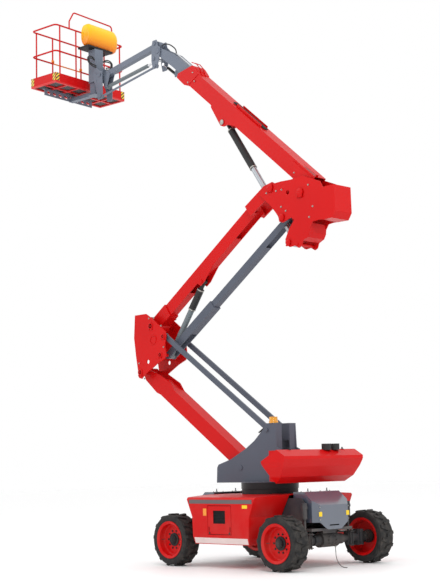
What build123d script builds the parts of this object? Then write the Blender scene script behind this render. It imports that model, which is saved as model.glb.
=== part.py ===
# Articulating boom lift: four-wheel chassis, slewing turntable, double parallelogram riser,
# telescopic main boom, jib and rotating work platform.
# Millimetres. +X is the way the booms point at rest, +Y is the access side, +Z is up, and the
# origin is on the floor under the slewing axis.
import os
from math import atan2, cos, degrees, hypot, pi, radians, sin, tan

from build123d import *

# Chassis and running gear
wheelbase = 2365
wheel_track = 1980
tyre_radius = 416
tyre_width = 320
lug_count = 13
kingpin_offset = 800
axle_x = wheelbase / 2
wheel_y = wheel_track / 2
spindle_radius = 36
running_gap = 0.05

# Body sides, one row for each section from the outer face inwards: y, then x and z of the shoulder,
# the top of the wheel arch, its side and the sill
body_sections = [
    (1140, 752, 1062, 633, 790, 618, 484, 616, 482),
    (1108, 764, 1092, 638, 788, 619, 480, 600, 372),
    (820, 822, 1108, 648, 792, 620, 480, 584, 356),
    (490, 880, 1118, 700, 800, 622, 480, 560, 340),
]
body_inner_y = 490
body_wall = 8
deck_height = 1118
frame_half_width = 470

# Turntable
ring_radius = 455
ring_low = 1100
ring_split = 1200
turntable_floor = 1300
cheek_outer = 240
cheek_thickness = 24
mast_top = 2235

# Riser: two parallelograms that keep both knuckles upright
lower_angle = 35.0
lower_length = 3000
upper_angle = 34.0
upper_length = 3580
lower_pivot = (420, 1540)
lower_link_rise = (-620.5, 590.3)
knuckle_arm_step = (-297.5, 799.3)
upper_link_drop = (-245, -530)
lower_arm_width = 240
lower_arm_depth = 250
upper_arm_width = 156
upper_arm_depth = 220
upper_arm_rise = 70
link_width = 134
link_depth = 112
knuckle_outer = 260
head_outer = 200
plate = 20

# Main boom and its cylinder
boom_angle = 41.2
boom_pivot = (-1040, 5870)
boom_rise = 202
boom_width = 260
boom_depth = 270
boom_root = -60
boom_tip = 3690
inner_width = 200
inner_depth = 205
inner_rise = 214.5
inner_root = 140
inner_tip = 4250
tip_pivot = (4737, 159)
boom_cylinder_base = (-760, 5100)
boom_cylinder_head = (2378, -30)
riser_cylinder_head = (1440, 4740)

# Jib, levelled by a link, and the platform's rotator
jib_angle = -7.2
jib_length = 1620
jib_pivot = (2500, 9265)
jib_link_drop = (-10, -420)
jib_cylinder_head = (2520, 8985)
jib_cylinder_base = (4020, 8830)
level_cylinder_base = (4150, -5)
level_cylinder_head = (2461, 8900)
level_cylinder_y = -58
level_ears = [(-27, -15), (-99, -89)]
rotator_x = 4380

# Platform
platform_turn = 6.4
platform_centre = (4927, 0)
platform_length = 1870
platform_depth = 690
platform_floor = 8873
rail_height = 10030
mid_rail_height = 9500
# Earthing strap that hangs from the steering axle and trails on the floor
strap_diameter = 10
strap_route = [(-1210, -162, 290), (-1213, -161, 213), (-1224, -157, 137), (-1262, -148, 66),
               (-1334, -124, 16),
               (-1424, -76, 6), (-1492, -12, 6), (-1576, 4, 6)]
rail_radius = 16
corner_radius = 70
gate_half = 385


def step(point, angle, along, up=0.0):
    # A point in the XZ plane, moved along a member's direction and square to it.
    a = radians(angle)
    return (point[0] + along * cos(a) - up * sin(a), point[1] + along * sin(a) + up * cos(a))


def add(point, offset):
    return (point[0] + offset[0], point[1] + offset[1])


def heading(start, end):
    return degrees(atan2(end[1] - start[1], end[0] - start[0]))


def distance3(start, end):
    return (Vector(*end) - Vector(*start)).length


def distance(start, end):
    return hypot(end[0] - start[0], end[1] - start[1])


lower_link_pivot = add(lower_pivot, lower_link_rise)
knuckle_low = step(lower_pivot, lower_angle, lower_length)
knuckle_link = step(lower_link_pivot, lower_angle, lower_length)
knuckle_arm = add(knuckle_low, knuckle_arm_step)
knuckle_rod = add(knuckle_arm, upper_link_drop)
head_arm = step(knuckle_arm, 180 - upper_angle, upper_length)
head_link = add(head_arm, upper_link_drop)
boom_eye = step(boom_pivot, boom_angle, *boom_cylinder_head)
tip = step(boom_pivot, boom_angle, *tip_pivot)
level_base = step(boom_pivot, boom_angle, *level_cylinder_base)
mast_pivot = step(jib_pivot, jib_angle, jib_length)
mast_link = add(mast_pivot, jib_link_drop)
jib_link_pivot = add(jib_pivot, jib_link_drop)


def slab(outline, low, high):
    # Plate of an XZ outline between two values of y.
    face = make_face(Polyline(*[(x, high, z) for x, z in outline], close=True))
    return extrude(face, amount=high - low, dir=(0, -1, 0))


def pair(outline, inner, outer):
    return slab(outline, inner, outer) + slab(outline, -outer, -inner)


def drum(point, radius, low, high):
    # Cylinder along Y at an XZ point.
    return Pos(point[0], (low + high) / 2, point[1]) * Rot(90, 0, 0) * Cylinder(radius, high - low)


def twin_drum(point, radius, inner, outer):
    return drum(point, radius, inner, outer) + drum(point, radius, -outer, -inner)


def across(point, angle, along=0.0, up=0.0, y=0.0):
    # Plane square to a member, x across the machine, y square to the member.
    x, z = step(point, angle, along, up)
    return Plane(origin=(x, y, z), x_dir=(0, 1, 0), z_dir=(cos(radians(angle)), 0, sin(radians(angle))))


def bar(point, angle, start, stop, width, depth, up=0.0, y=0.0):
    return extrude(across(point, angle, start, up, y) * Rectangle(width, depth), amount=stop - start)


def tube(point, angle, start, stop, width, depth, wall, up=0.0, y=0.0):
    return bar(point, angle, start, stop, width, depth, up, y) - bar(
        point, angle, start - 1, stop + 1, width - 2 * wall, depth - 2 * wall, up, y
    )


def rod(start, end, radius, y=0.0):
    place = across(start, heading(start, end), 0, 0, y)
    return extrude(place * Circle(radius), amount=distance(start, end))


def along_outline(origin, angle, points):
    return [step(origin, angle, u, v) for u, v in points]


def block(x0, x1, y0, y1, z0, z1):
    return Pos((x0 + x1) / 2, (y0 + y1) / 2, (z0 + z1) / 2) * Box(x1 - x0, y1 - y0, z1 - z0)


def post(x, y, radius, z0, z1):
    return Pos(x, y, (z0 + z1) / 2) * Cylinder(radius, z1 - z0)


def ring_section(points):
    # Solid of revolution about the Y axis from (radius, y) points.
    face = make_face(Polyline(*[(r, y, 0) for r, y in points], close=True))
    return revolve(face, axis=Axis.Y)


parts = {}


# Wheels


def tyre_half_profile():
    # Radius and half width, from the bead over the sidewall and shoulder to the crown
    half = tyre_width / 2
    return [(262, half - 22), (300, half - 8), (350, half), (385, half - 10), (392, half - 20)]


def lug():
    # A slanted bar from the shoulder past the middle of the tread, cut to the tyre's outer radius
    outline = [(-10, 132), (40, 132), (-6, -20), (-56, -20)]
    bar_shape = extrude(Plane.XY.offset(372) * make_face(Polyline(*outline, close=True)), amount=60)
    return bar_shape & Cylinder(tyre_radius, 2 * tyre_width, rotation=(90, 0, 0))


def tyre_shape():
    side = tyre_half_profile()
    casing = ring_section([(r, -y) for r, y in side] + list(reversed(side)))
    pitch = 360 / lug_count
    one = lug()
    other = mirror(one, about=Plane.XZ)
    row = [Rot(0, k * pitch, 0) * one for k in range(lug_count)]
    row += [Rot(0, (k + 0.5) * pitch, 0) * other for k in range(lug_count)]
    return casing + row


def rim_shape():
    # Deep dish, with the disc set in from the outer flange
    flange = [(262, 138), (296, 153), (295, 161), (284, 160), (253, 142)]
    outer = list(reversed(flange))
    dish = [(253, -40), (254, 8), (232, 24), (104, 26), (104, 40), (228, 42), (246, 54), (252, 76)]
    return ring_section([(r, -y) for r, y in flange] + dish + outer)


def wheel(name, x, side):
    def place(shape):
        turned = shape if side > 0 else mirror(shape, about=Plane.XZ)
        return Pos(x, side * wheel_y, tyre_radius) * turned

    parts["tyre_" + name] = place(tyre)
    parts["rim_" + name] = place(rim)
    hub = ring_section(
        [
            (spindle_radius + running_gap, -120),
            (88, -120),
            (88, -20),
            (103.5, -20),
            (103.5, 56),
            (72, 62),
            (66, 84),
            (0, 84),
            (0, 4),
            (spindle_radius + running_gap, 4),
        ]
    )
    parts["hub_" + name] = place(hub)


wheel_places = [
    ("left_steer", -axle_x, 1),
    ("right_steer", -axle_x, -1),
    ("left_drive", axle_x, 1),
    ("right_drive", axle_x, -1),
]
tyre = tyre_shape()
rim = rim_shape()
for name, x, side in wheel_places:
    wheel(name, x, side)


# Axles. The steered one carries yokes for the kingpins.


def spindle(x, side, start):
    inner, outer = sorted((side * start, side * wheel_y))
    return drum((x, tyre_radius), spindle_radius, inner, outer)


def axle_beam(x, reach):
    shape = drum((x, tyre_radius), 62, -reach, reach)
    shape += drum((x, tyre_radius), 112, -190, 190)
    shape += drum((x, tyre_radius), 80, -330, 330)
    return shape


yoke_height = 106
knuckle_half = 84


def steer_axle():
    x = -axle_x
    shape = axle_beam(x, 700)
    for side in (1, -1):
        yoke_y = side * kingpin_offset
        for level in (1, -1):
            z0, z1 = sorted((level * (knuckle_half + 2), level * (yoke_height + 16)))
            shape += post(x, yoke_y, 52, tyre_radius + z0, tyre_radius + z1)
            y0, y1 = sorted((side * 700, yoke_y))
            shape += block(x - 40, x + 40, y0, y1, tyre_radius + z0, tyre_radius + z1)
        y0, y1 = sorted((side * 680, side * 716))
        shape += block(x - 46, x + 46, y0, y1, tyre_radius - yoke_height - 16,
                       tyre_radius + yoke_height + 16)
        shape += post(x, yoke_y, 22, tyre_radius - yoke_height, tyre_radius + yoke_height)
        y0, y1 = sorted((side * 432, side * 528))
        shape += block(x - 60, x, y0, y1, tyre_radius - 96, tyre_radius + 96)
        for level in (-108, 96):
            shape += block(x - 118, x, y0, y1, tyre_radius + level, tyre_radius + level + 12)
        for pin_y in (456, 504):
            shape += post(x - 94, side * pin_y, 11, tyre_radius - 124, tyre_radius + 118)
    return shape


def drive_axle():
    x = axle_x
    shape = axle_beam(x, 840)
    for side in (1, -1):
        shape += spindle(x, side, 800)
    return shape


steer_arm = 150


def steer_knuckle(side):
    x = -axle_x
    y = side * kingpin_offset
    shape = post(x, y, 46, tyre_radius - knuckle_half, tyre_radius + knuckle_half)
    shape += spindle(x, side, kingpin_offset)
    y0, y1 = sorted((y + side * 36, side * 868))
    shape += drum((x, tyre_radius), 70, y0, y1)
    y0, y1 = sorted((y - side * 34, y + side * 20))
    shape += block(x, x + steer_arm, y0, y1, tyre_radius + 44, tyre_radius + 66)
    shape += post(x + steer_arm, (y0 + y1) / 2, 30, tyre_radius + 44, tyre_radius + 66)
    shape -= post(x, y, 22 + running_gap, tyre_radius - 120, tyre_radius + 120)
    return shape


parts["steer_axle"] = steer_axle()
parts["drive_axle"] = drive_axle()
parts["steer_knuckle_left"] = steer_knuckle(1)
parts["steer_knuckle_right"] = steer_knuckle(-1)


def steering_cylinder():
    x = -axle_x + steer_arm
    z = tyre_radius + 100
    shape = drum((x, z), 38, -190, 190) - drum((x, z), 18 + running_gap, -200, 200)
    shape += block(x - 90, x - 30, -60, 60, tyre_radius + 70, z + 10)
    return shape - drum((-axle_x, tyre_radius), 112, -200, 200)


def steering_rod():
    x = -axle_x + steer_arm
    z = tyre_radius + 100
    reach = kingpin_offset - 7
    shape = drum((x, z), 18, -reach + 20, reach - 20)
    for side in (1, -1):
        shape += post(x, side * reach, 28, z - 27, z + 22)
    return shape


parts["steering_cylinder"] = steering_cylinder()
parts["steering_rod"] = steering_rod()


# Chassis


def body_outline(row, inset):
    side = [(row[k], row[k + 1]) for k in (1, 3, 5, 7)]
    side = [(x - inset, z) for x, z in side]
    side[0] = (side[0][0], side[0][1] - inset)
    side[-1] = (side[-1][0], side[-1][1] + inset)
    return side + [(-x, z) for x, z in reversed(side)]


def body_side(side, inset=0):
    faces = []
    for row in body_sections:
        y = row[0] - inset if row[0] > body_inner_y else row[0] - inset * 8
        points = [(x, side * y, z) for x, z in body_outline(row, inset)]
        faces.append(make_face(Polyline(*points, close=True)))
    return loft(faces, ruled=True)


door_box = (-250, 280, 520, 968)
door_gap = 8
grille_box = (-115, 150, 690, 890)


def chassis_body():
    shape = Part()
    for side in (1, -1):
        shape += body_side(side) - body_side(side, body_wall)
    x0, x1, z0, z1 = door_box
    shape -= block(x0, x1, 1110, 1160, z0, z1)
    shape += block(-880, 880, -body_inner_y, body_inner_y, deck_height - 10, deck_height) - post(
        0, 0, ring_radius + 1, deck_height - 60, deck_height + 60
    )
    return shape


def access_door():
    x0, x1, z0, z1 = door_box
    shape = block(x0 + door_gap, x1 - door_gap, 1118, 1140, z0 + door_gap, z1 - door_gap)
    # Recessed louvre panel with sloping slats, and a finger slot beside each lower corner
    gx0, gx1, gz0, gz1 = grille_box
    shape -= block(gx0, gx1, 1124, 1150, gz0, gz1)
    slats = 9
    rise = (gz1 - gz0) / slats
    for k in range(slats):
        z = gz0 + k * rise
        slat = [(1121, z + 3), (1137, z + 3), (1137, z + 6), (1121, z + 16)]
        face = make_face(Polyline(*[(gx0 - 1, y, z) for y, z in slat], close=True))
        shape += extrude(face, amount=gx1 - gx0 + 2, dir=(1, 0, 0))
    for x in (x0 + 32, x1 - 32):
        shape -= block(x - 8, x + 8, 1128, 1150, 560, 640)
    return shape


parts["chassis_body"] = chassis_body()
parts["access_door"] = access_door()
parts["engine_block"] = block(-420, 380, 560, 980, 420, 900)


def chassis_frame():
    w = frame_half_width
    shape = block(-1300, 1300, -w, w, 560, 600)
    cheek = [(1165, 560), (1165, 985), (1105, 1060), (-1105, 1060), (-1165, 985), (-1165, 560)]
    shape += pair(cheek, w - 20, w)
    for side in (1, -1):
        # Cylinder that locks the oscillating axle, on its bracket
        y = side * 500
        y0, y1 = sorted((side * (w - 4), side * 520))
        shape += block(-1180, -1130, y0, y1, 760, 960)
        shape += post(-1190, y, 42, 745, 985) + post(-1190, y, 50, 900, 940)
        shape += post(-1190, y, 20, tyre_radius + 108, 800)
    for x in (-700, 680):
        shape += block(x, x + 20, -w, w, 560, 1040)
    shape += post(0, 0, 430, 590, ring_low)
    for x in (-axle_x, axle_x):
        shape += block(x - 58, x + 58, -150, 150, tyre_radius + 100, 600) - drum((x, tyre_radius), 112,
            -200, 200)
    for end in (-1, 1):
        x0, x1 = sorted((end * 890, end * 2000))
        shape -= block(x0, x1, -420, 420, 601, 1200)
    return shape


def hood_cover(end, inset):
    # Side view of the cover, cut by its plan, whose front corners are taken off
    left, right, under = 1350 - inset, 890 - inset, 690 - 12 * inset
    top = 1152 - inset
    half = 412 - inset
    plan = [(1400, 130 - half), (1345 - inset, 84 - half), (1262, -half), (800, -half)]
    plan += [(x, -y) for x, y in reversed(plan)]
    face = make_face(Polyline(*[(end * x, y, 500) for x, y in plan], close=True))
    profile = [(left, under), (left, 950), (1100, top), (right, top), (right, under)]
    return slab([(end * x, z) for x, z in profile], -half, half) & extrude(face, amount=800, dir=(0, 0, 1))


def hood(end):
    # Bent cover over each end of the frame, with a tapered apron and a slot below
    shape = hood_cover(end, 0) - hood_cover(end, 8)
    apron = [(-326, 692), (-160, 580), (160, 580), (326, 692)]
    face = make_face(Polyline(*[(end * 1350, y, z) for y, z in apron], close=True))
    shape += extrude(face, amount=10, dir=(-end, 0, 0))
    x0, x1 = sorted((end * 1360, end * 1330))
    return shape - block(x0, x1, -110, 110, 634, 652)


parts["chassis_frame"] = chassis_frame()
parts["end_hoods"] = hood(-1) + hood(1)
parts["slew_ring"] = post(0, 0, ring_radius, ring_low, ring_split - 2) - post(0, 0, 200, 900, 1300)


# Turntable


def turntable_frame():
    outline = [
        (989, turntable_floor), (974, 1548), (941, 1596), (634, 1683), (289, 1846), (95, 1965), (-130,
            2160),
        (-165, mast_top), (-380, mast_top), (-395, 1850), (-463, 1820), (-463, turntable_floor),
    ]
    shape = pair(outline, cheek_outer - cheek_thickness, cheek_outer)
    shape += block(-463, 989, -cheek_outer, cheek_outer, turntable_floor, turntable_floor + 26)
    shape += post(0, 0, ring_radius + 10, ring_split, turntable_floor + 10)
    for side in (1, -1):
        y0, y1 = sorted((side * 90, side * cheek_outer))
        shape += block(-380, -362, y0, y1, turntable_floor, mast_top)
        inner0, inner1 = sorted((side * 90, side * 106))
        shape += block(-380, -130, inner0, inner1, 1960, mast_top)
        shape += drum(lower_link_pivot, 28, inner0 if side > 0 else inner0 - 160,
                      inner1 + 160 if side > 0 else inner1)
    shape += drum(lower_pivot, 42, -cheek_outer - 14, cheek_outer + 14)
    shape += block(940, 974, -cheek_outer, cheek_outer, turntable_floor, 1455)
    return shape


def counterweight():
    profile = [(-1030, 1800), (-1200, 1700), (-1200, 1655), (-1145, 1540), (-1045, 1385), (-900, 1290),
               (-680, 1620)]
    wing = slab(profile, -916, 916)
    middle = slab([(-1030, 1800), (-1200, 1700), (-1045, 1385), (-900, 1290), (-465, 1330), (-465, 1790)],
                  -600, 600)
    plan = [(-1300, -916), (-700, -916), (-640, -800), (-465, -300), (-465, 300), (-640, 800), (-700, 916),
            (-1300, 916)]
    face = make_face(Polyline(*[(x, y, 1200) for x, y in plan], close=True))
    rear = [(-800, 1290), (-850, 1385), (-900, 1540), (-916, 1620), (-916, 1810),
            (916, 1810), (916, 1620), (900, 1540), (850, 1385), (800, 1290)]
    sides = make_face(Polyline(*[(-1300, y, z) for y, z in rear], close=True))
    solid = (wing + middle) & extrude(face, amount=700, dir=(0, 0, 1))
    return solid & extrude(sides, amount=1000, dir=(1, 0, 0))


def buffer_caps():
    return Part() + [post(-1050, y, 75, 1788, 1885) for y in (-210, -410)]


def beacon():
    x, y = -290, cheek_outer - 60
    return post(x, y, 75, mast_top, mast_top + 30) + post(x, y, 68, mast_top + 30, mast_top + 100)


parts["turntable_frame"] = turntable_frame()
parts["counterweight"] = counterweight()
parts["buffer_caps"] = buffer_caps() - parts["counterweight"]
parts["beacon"] = beacon()


# Riser


def lower_arm():
    w, d = lower_arm_width, lower_arm_depth
    shape = tube(lower_pivot, lower_angle, 60, lower_length - 420, w, d, 8)
    flare = along_outline(
        lower_pivot, lower_angle,
        [(2450, -125), (2560, -150), (2930, -118), (3040, -60), (3060, 20), (3010, 62), (2700, 150),
        (2350, 185), (2180, 125)],
    )
    shape += pair(flare, w / 2 - 12, w / 2)
    shape += bar(lower_pivot, lower_angle, lower_length - 440, lower_length - 424, w - 4, d - 4)
    for point in (lower_pivot, knuckle_low):
        shape += drum(point, 78, -w / 2, w / 2)
    shape += bar(lower_pivot, lower_angle, 0, 80, w, 140)
    shape -= drum(lower_pivot, 42 + running_gap, -400, 400)
    shape -= drum(knuckle_low, 34 + running_gap, -400, 400)
    return shape


def link_rods():
    shape = Part()
    for side in (1, -1):
        y0, y1 = sorted((side * 168, side * 204))
        piece = bar(lower_link_pivot, lower_angle, 0, lower_length, 36, 88, 0, side * 186)
        for point in (lower_link_pivot, knuckle_link):
            piece += drum(point, 58, y0, y1)
            piece -= drum(point, 28 + running_gap, -400, 400)
        shape += piece
    return shape


def lower_knuckle():
    outline = [
        (3007, 4292), (2705, 4292), (2520, 4175), (2202, 3943), (2175, 3868), (2209, 3690), (2185, 3518),
        (2231, 3450), (2433, 3375), (2780, 3196), (2845, 3142), (2919, 3163), (2991, 3548), (3039, 3884),
    ]
    shape = pair(outline, knuckle_outer - plate, knuckle_outer)
    front = [(2985, 3510), (3033, 3884), (3001, 4286), (2987, 4286), (3019, 3884), (2971, 3512)]
    shape += slab(front, -knuckle_outer + 5, knuckle_outer - 5)
    shape += drum(knuckle_low, 34, -knuckle_outer - 12, knuckle_outer + 12)
    shape += drum(knuckle_arm, 40, -knuckle_outer - 12, knuckle_outer + 12)
    shape += drum(knuckle_rod, 30, -knuckle_outer - 12, knuckle_outer + 12)
    shape += twin_drum(knuckle_link, 28, 160, knuckle_outer + 12)
    shape += twin_drum((2518, 3808), 84, knuckle_outer, knuckle_outer + 8) - drum((2518, 3808), 70, -400,
        400)
    shape -= drum((2665, 3432), 38, -400, 400)
    return shape


def welded(*shapes):
    # The plates and tubes of a weldment, each kept as its own solid
    return Compound([solid for shape in shapes for solid in shape.solids()])


def upper_arm():
    w, d, rise = upper_arm_width, upper_arm_depth, upper_arm_rise
    origin, angle = head_arm, -upper_angle
    low, high, wall_end = rise - d / 2, rise + d / 2, 1180
    shape = tube(origin, angle, wall_end, upper_length, w, d, 10, rise)
    collar = bar(origin, angle, upper_length - 380, upper_length, w + 44, d + 30, rise)
    shape += collar - bar(origin, angle, upper_length - 400, upper_length + 10, w - 20, d - 20, rise)
    shape += drum(knuckle_arm, 108, -w / 2 - 22, w / 2 + 22)
    bracket = along_outline(origin, angle, [(1880, -39), (2190, -128), (2310, -128), (2350, -39)])
    shape += pair(bracket, w / 2 - 12, w / 2)
    shape -= bar(origin, angle, 2140, 2600, 126, 60, low)
    shape += twin_drum(riser_cylinder_head, 34, w / 2 - 12, w / 2 + 14)
    shape -= drum(knuckle_arm, 40 + running_gap, -400, 400)
    # Side walls that leave room for the boom cylinder, and the fork that they are joined to by webs
    wall = along_outline(origin, angle, [(520, low), (wall_end, low), (wall_end, high), (520, high)])
    cheek = along_outline(origin, angle, [(-60, -75), (-95, 0), (-60, 75), (120, 150), (640, 176),
                                          (640, -38), (140, -70)])
    web = along_outline(origin, angle, [(560, 170), (632, 174), (632, -36), (560, -36)])
    fork = pair(cheek, 140, 165) - drum(origin, 36 + running_gap, -400, 400)
    return welded(shape, pair(wall, w / 2 - 10, w / 2), pair(web, w / 2, 140), fork)


def upper_link():
    origin, angle = head_link, -upper_angle
    shape = tube(origin, angle, 660, 2240, link_width, link_depth, 8)
    shape += tube(origin, angle, 2180, 2900, 164, 150, 14)
    shape += tube(origin, angle, 2180, 2200, 164, 150, 20)
    half = link_depth / 2
    wall = along_outline(origin, angle, [(0, -half), (660, -half), (660, half), (0, half)])
    walls = pair(wall, link_width / 2 - 8, link_width / 2)
    walls += twin_drum(origin, 62, link_width / 2 - 8, link_width / 2)
    walls -= drum(origin, 30 + running_gap, -400, 400)
    ends = tube(origin, angle, 2900, 3020, 164, 150, 14) - bar(origin, angle, 2800, 3100, 118, 300)
    fork = along_outline(origin, angle, [(2960, 75), (3540, 60), (3540, -60), (2960, -75)])
    ends += pair(fork, 62, 82) + twin_drum(knuckle_rod, 66, 62, 82)
    ends -= drum(knuckle_rod, 30 + running_gap, -400, 400)
    return welded(shape, walls, ends)


def upper_knuckle():
    outline = [
        (-132, 5982), (-253, 6095), (-399, 6112), (-629, 6120), (-841, 6112), (-1100, 6130), (-1460,
            5980), (-1514, 5874),
        (-1753, 5878), (-1758, 5462), (-1687, 5358), (-1370, 5367), (-1276, 5356), (-1217, 5273), (-1202,
        5203),
        (-1158, 5128), (-1060, 5081), (-1028, 5004), (-973, 4981), (-890, 5030), (-780, 5020), (-700, 5072),
        (-690, 5160), (-770, 5307), (-890, 5445), (-828, 5498), (-640, 5440), (-565, 5465), (-545,
        5560), (-385, 5759),
    ]
    shape = pair(outline, head_outer - plate, head_outer)
    box = [(-1753, 5878), (-1758, 5462), (-1687, 5358), (-1470, 5362), (-1470, 5874)]
    hollow = [(-1741, 5866), (-1746, 5467), (-1681, 5370), (-1482, 5374), (-1482, 5862)]
    shape += slab(box, -head_outer + 2, head_outer - 2) - slab(hollow, -head_outer + 24, head_outer - 24)
    web = [(-1210, 5200), (-1166, 5128), (-1060, 5084), (-1064, 5100), (-1152, 5142), (-1196, 5208),
           (-1216, 5350), (-1230, 5350)]
    shape += slab(web, -head_outer + 2, head_outer - 2)
    shape += drum(boom_pivot, 45, -head_outer - 14, head_outer + 14)
    shape += twin_drum(head_arm, 36, boom_width / 2 + 7, head_outer + 14)
    shape += twin_drum(head_link, 30, 56, head_outer + 14)
    shape += drum(boom_cylinder_base, 30, -head_outer - 14, head_outer + 14)
    shape += drum((-942, 5047), 26, -head_outer - 8, head_outer + 8)
    shape -= drum((-769, 5915), 36, -400, 400)
    return shape


parts["lower_arm"] = lower_arm()
parts["lower_link_rods"] = link_rods()
parts["lower_knuckle"] = lower_knuckle()
parts["upper_arm"] = upper_arm()
parts["upper_link"] = upper_link()
parts["upper_knuckle"] = upper_knuckle()


# Cylinders. Each is a barrel with an eye at its base, and a rod whose eye carries a cover over the rod.


def barrel(base, head, length, radius, bore, eye_radius, eye_half, pin_radius, blind=160):
    # blind is where the bore starts, counted from the base pin
    angle = heading(base, head)
    start, stop = eye_radius * 0.7, length
    shape = extrude(across(base, angle, start) * Circle(radius), amount=stop - start)
    shape -= extrude(across(base, angle, blind) * Circle(bore + running_gap), amount=stop)
    shape += drum(base, eye_radius, -eye_half, eye_half)
    shape -= drum(base, pin_radius + running_gap, -400, 400)
    return shape


def piston_rod(base, head, tail, radius, eye_radius, eye_half, cover=None):
    # tail is how far from the base the hidden end lies; cover is (start, stop, outer radius, inner radius)
    angle = heading(head, base)
    reach = distance(head, base)
    shape = extrude(across(head, angle, 0) * Circle(radius), amount=reach - tail)
    shape += drum(head, eye_radius, -eye_half, eye_half)
    if cover:
        start, stop, outer, inner = cover
        sleeve = extrude(across(head, angle, start) * Circle(outer), amount=stop - start)
        shape += sleeve - extrude(across(head, angle, start + 16) * Circle(inner), amount=stop)
    return shape


parts["riser_cylinder_barrel"] = barrel(knuckle_rod, riser_cylinder_head, 1045, 52, 36, 60, 50, 30)
parts["riser_cylinder_rod"] = piston_rod(knuckle_rod, riser_cylinder_head, 480, 36, 33, 50,
                                         (150, 560, 61, 56))
parts["boom_cylinder_barrel"] = barrel(boom_cylinder_base, boom_eye, 1760, 50, 34, 62, 60, 30)
parts["boom_cylinder_rod"] = piston_rod(boom_cylinder_base, boom_eye, 700, 34, 34, 34, (160, 1080, 61, 56))


# Main boom and telescope


def main_boom():
    w, d, rise = boom_width, boom_depth, boom_rise
    origin, angle = boom_pivot, boom_angle
    shape = tube(origin, angle, boom_root, boom_tip, w, d, 9, rise)
    lug = along_outline(origin, angle, [(-60, 300), (-60, 40), (-110, -20), (-60, -105), (60, -105),
                                        (130, -20), (330, 70), (500, 300)])
    shape += pair(lug, w / 2 - 12, w / 2 + 14)
    shape += twin_drum(origin, 98, w / 2 - 40, w / 2 + 22)
    collar = along_outline(
        origin, angle, [(3460, 337), (3480, 352), (3640, 391), (3700, 391), (3944, 98), (3921, 28),
                        (3660, 18), (3560, 67)]
    )
    shape += slab(collar, -w / 2 - 10, w / 2 + 10) - bar(origin, angle, 3000, 4200, w - 18, d - 18, rise)
    bracket = along_outline(origin, angle, [(2820, 70), (2798, 36), (2430, -82), (2378, -96), (2310, -74),
                                            (2240, 0), (2068, 70)])
    shape += pair(bracket, w / 2 - 26, w / 2)
    shape += twin_drum(boom_eye, 26, 42, w / 2 + 8)
    shape -= bar(origin, angle, 2080, 2560, 132, 60, rise - d / 2)
    # Hose tray along the top, the hook over the root and the bent hose guide at the tip
    tray = across(origin, angle, 1560, rise + d / 2 + 24)
    tray_section = Rectangle(150, 48) - Pos(0, 5) * Rectangle(142, 48)
    shape += extrude(tray * tray_section, amount=740)
    upper = [(3440, 350), (3470, 352), (3600, 424), (3720, 438), (3850, 404)]
    lower = [(3846, 390), (3718, 424), (3606, 410), (3480, 330), (3440, 330)]
    shape += pair(along_outline(origin, angle, upper + lower), 40, 48)
    hook = along_outline(origin, angle, [(-58, 330), (-58, 372), (270, 372), (270, 366), (-52, 366),
                                         (-52, 330)])
    shape += slab(hook, 60, 120)
    shape -= drum(origin, 45 + running_gap, -400, 400)
    return shape


def inner_boom():
    w, d, rise = inner_width, inner_depth, inner_rise
    origin, angle = boom_pivot, boom_angle
    shape = tube(origin, angle, inner_root, inner_tip, w, d, 8, rise)
    cheek = along_outline(origin, angle, [(4180, 317), (4314, 317), (4700, 236), (4800, 190), (4808, 130),
                                          (4750, 90), (4180, 112)])
    cheeks = pair(cheek, w / 2 - 16, w / 2) - shape - drum(tip, 32 + running_gap, -400, 400)
    ear = along_outline(origin, angle, [(4060, 112), (4100, -10), (4150, -48), (4200, -10), (4230, 112)])
    ears = drum(level_base, 18, level_ears[1][0], level_ears[0][1])
    for inner, outer in level_ears:
        ears += slab(ear, inner, outer)
    return welded(shape, cheeks, ears)


parts["main_boom"] = main_boom()
parts["inner_boom"] = inner_boom()
beside = Pos(0, level_cylinder_y, 0)
parts["level_cylinder_barrel"] = beside * barrel(level_base, level_cylinder_head, 330, 26, 16, 30, 20, 18,
                                                 58)
parts["level_cylinder_rod"] = beside * piston_rod(level_base, level_cylinder_head, 200, 16, 26, 16)


# Jib


def jib_head():
    outline = [
        (2448, 9330), (2552, 9330), (2582, 9230), (2590, 8960), (2556, 8796), (2440, 8796), (2410,
            8900), (2352, 9060),
        (2356, 9160), (2420, 9220),
    ]
    shape = pair(outline, 110, 126)
    shape += drum(tip, 32, -136, 136)
    shape += drum(jib_pivot, 28, -136, 136)
    shape += drum(jib_link_pivot, 20, 62, 134)
    shape += twin_drum(jib_cylinder_head, 30, 112, 134)
    shape += drum(level_cylinder_head, 26, -134, -108)
    return shape


def jib_tube():
    origin, angle = jib_pivot, jib_angle
    shape = tube(origin, angle, 30, jib_length - 30, 100, 100, 7)
    for point in (jib_pivot, mast_pivot):
        shape += drum(point, 58, -54, 54)
    lug = along_outline(origin, angle, [(1400, -48), (1520, -270), (1590, -270), (1600, -48)])
    shape += pair(lug, 52, 62)
    shape += pair(along_outline(origin, angle, [(1400, -49), (1400, 0), (1590, 0), (1590, -49)]), 49, 62)
    shape += drum(jib_cylinder_base, 18, -62, 62)
    shape -= drum(jib_pivot, 28 + running_gap, -400, 400)
    shape -= drum(mast_pivot, 26 + running_gap, -400, 400)
    return shape


def jib_link():
    shape = rod(jib_link_pivot, mast_link, 20, 87)
    for point, size in ((jib_link_pivot, 20), (mast_link, 22)):
        shape += drum(point, 38, 68, 104)
        shape -= drum(point, size + running_gap, -400, 400)
    return shape


parts["jib_head"] = jib_head()
parts["jib_tube"] = jib_tube()
parts["jib_link"] = jib_link()
parts["jib_cylinder_barrel"] = barrel(jib_cylinder_base, jib_cylinder_head, 1195, 36, 20, 42, 46, 18)
parts["jib_cylinder_rod"] = piston_rod(jib_cylinder_base, jib_cylinder_head, 500, 20, 30, 24)


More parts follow.
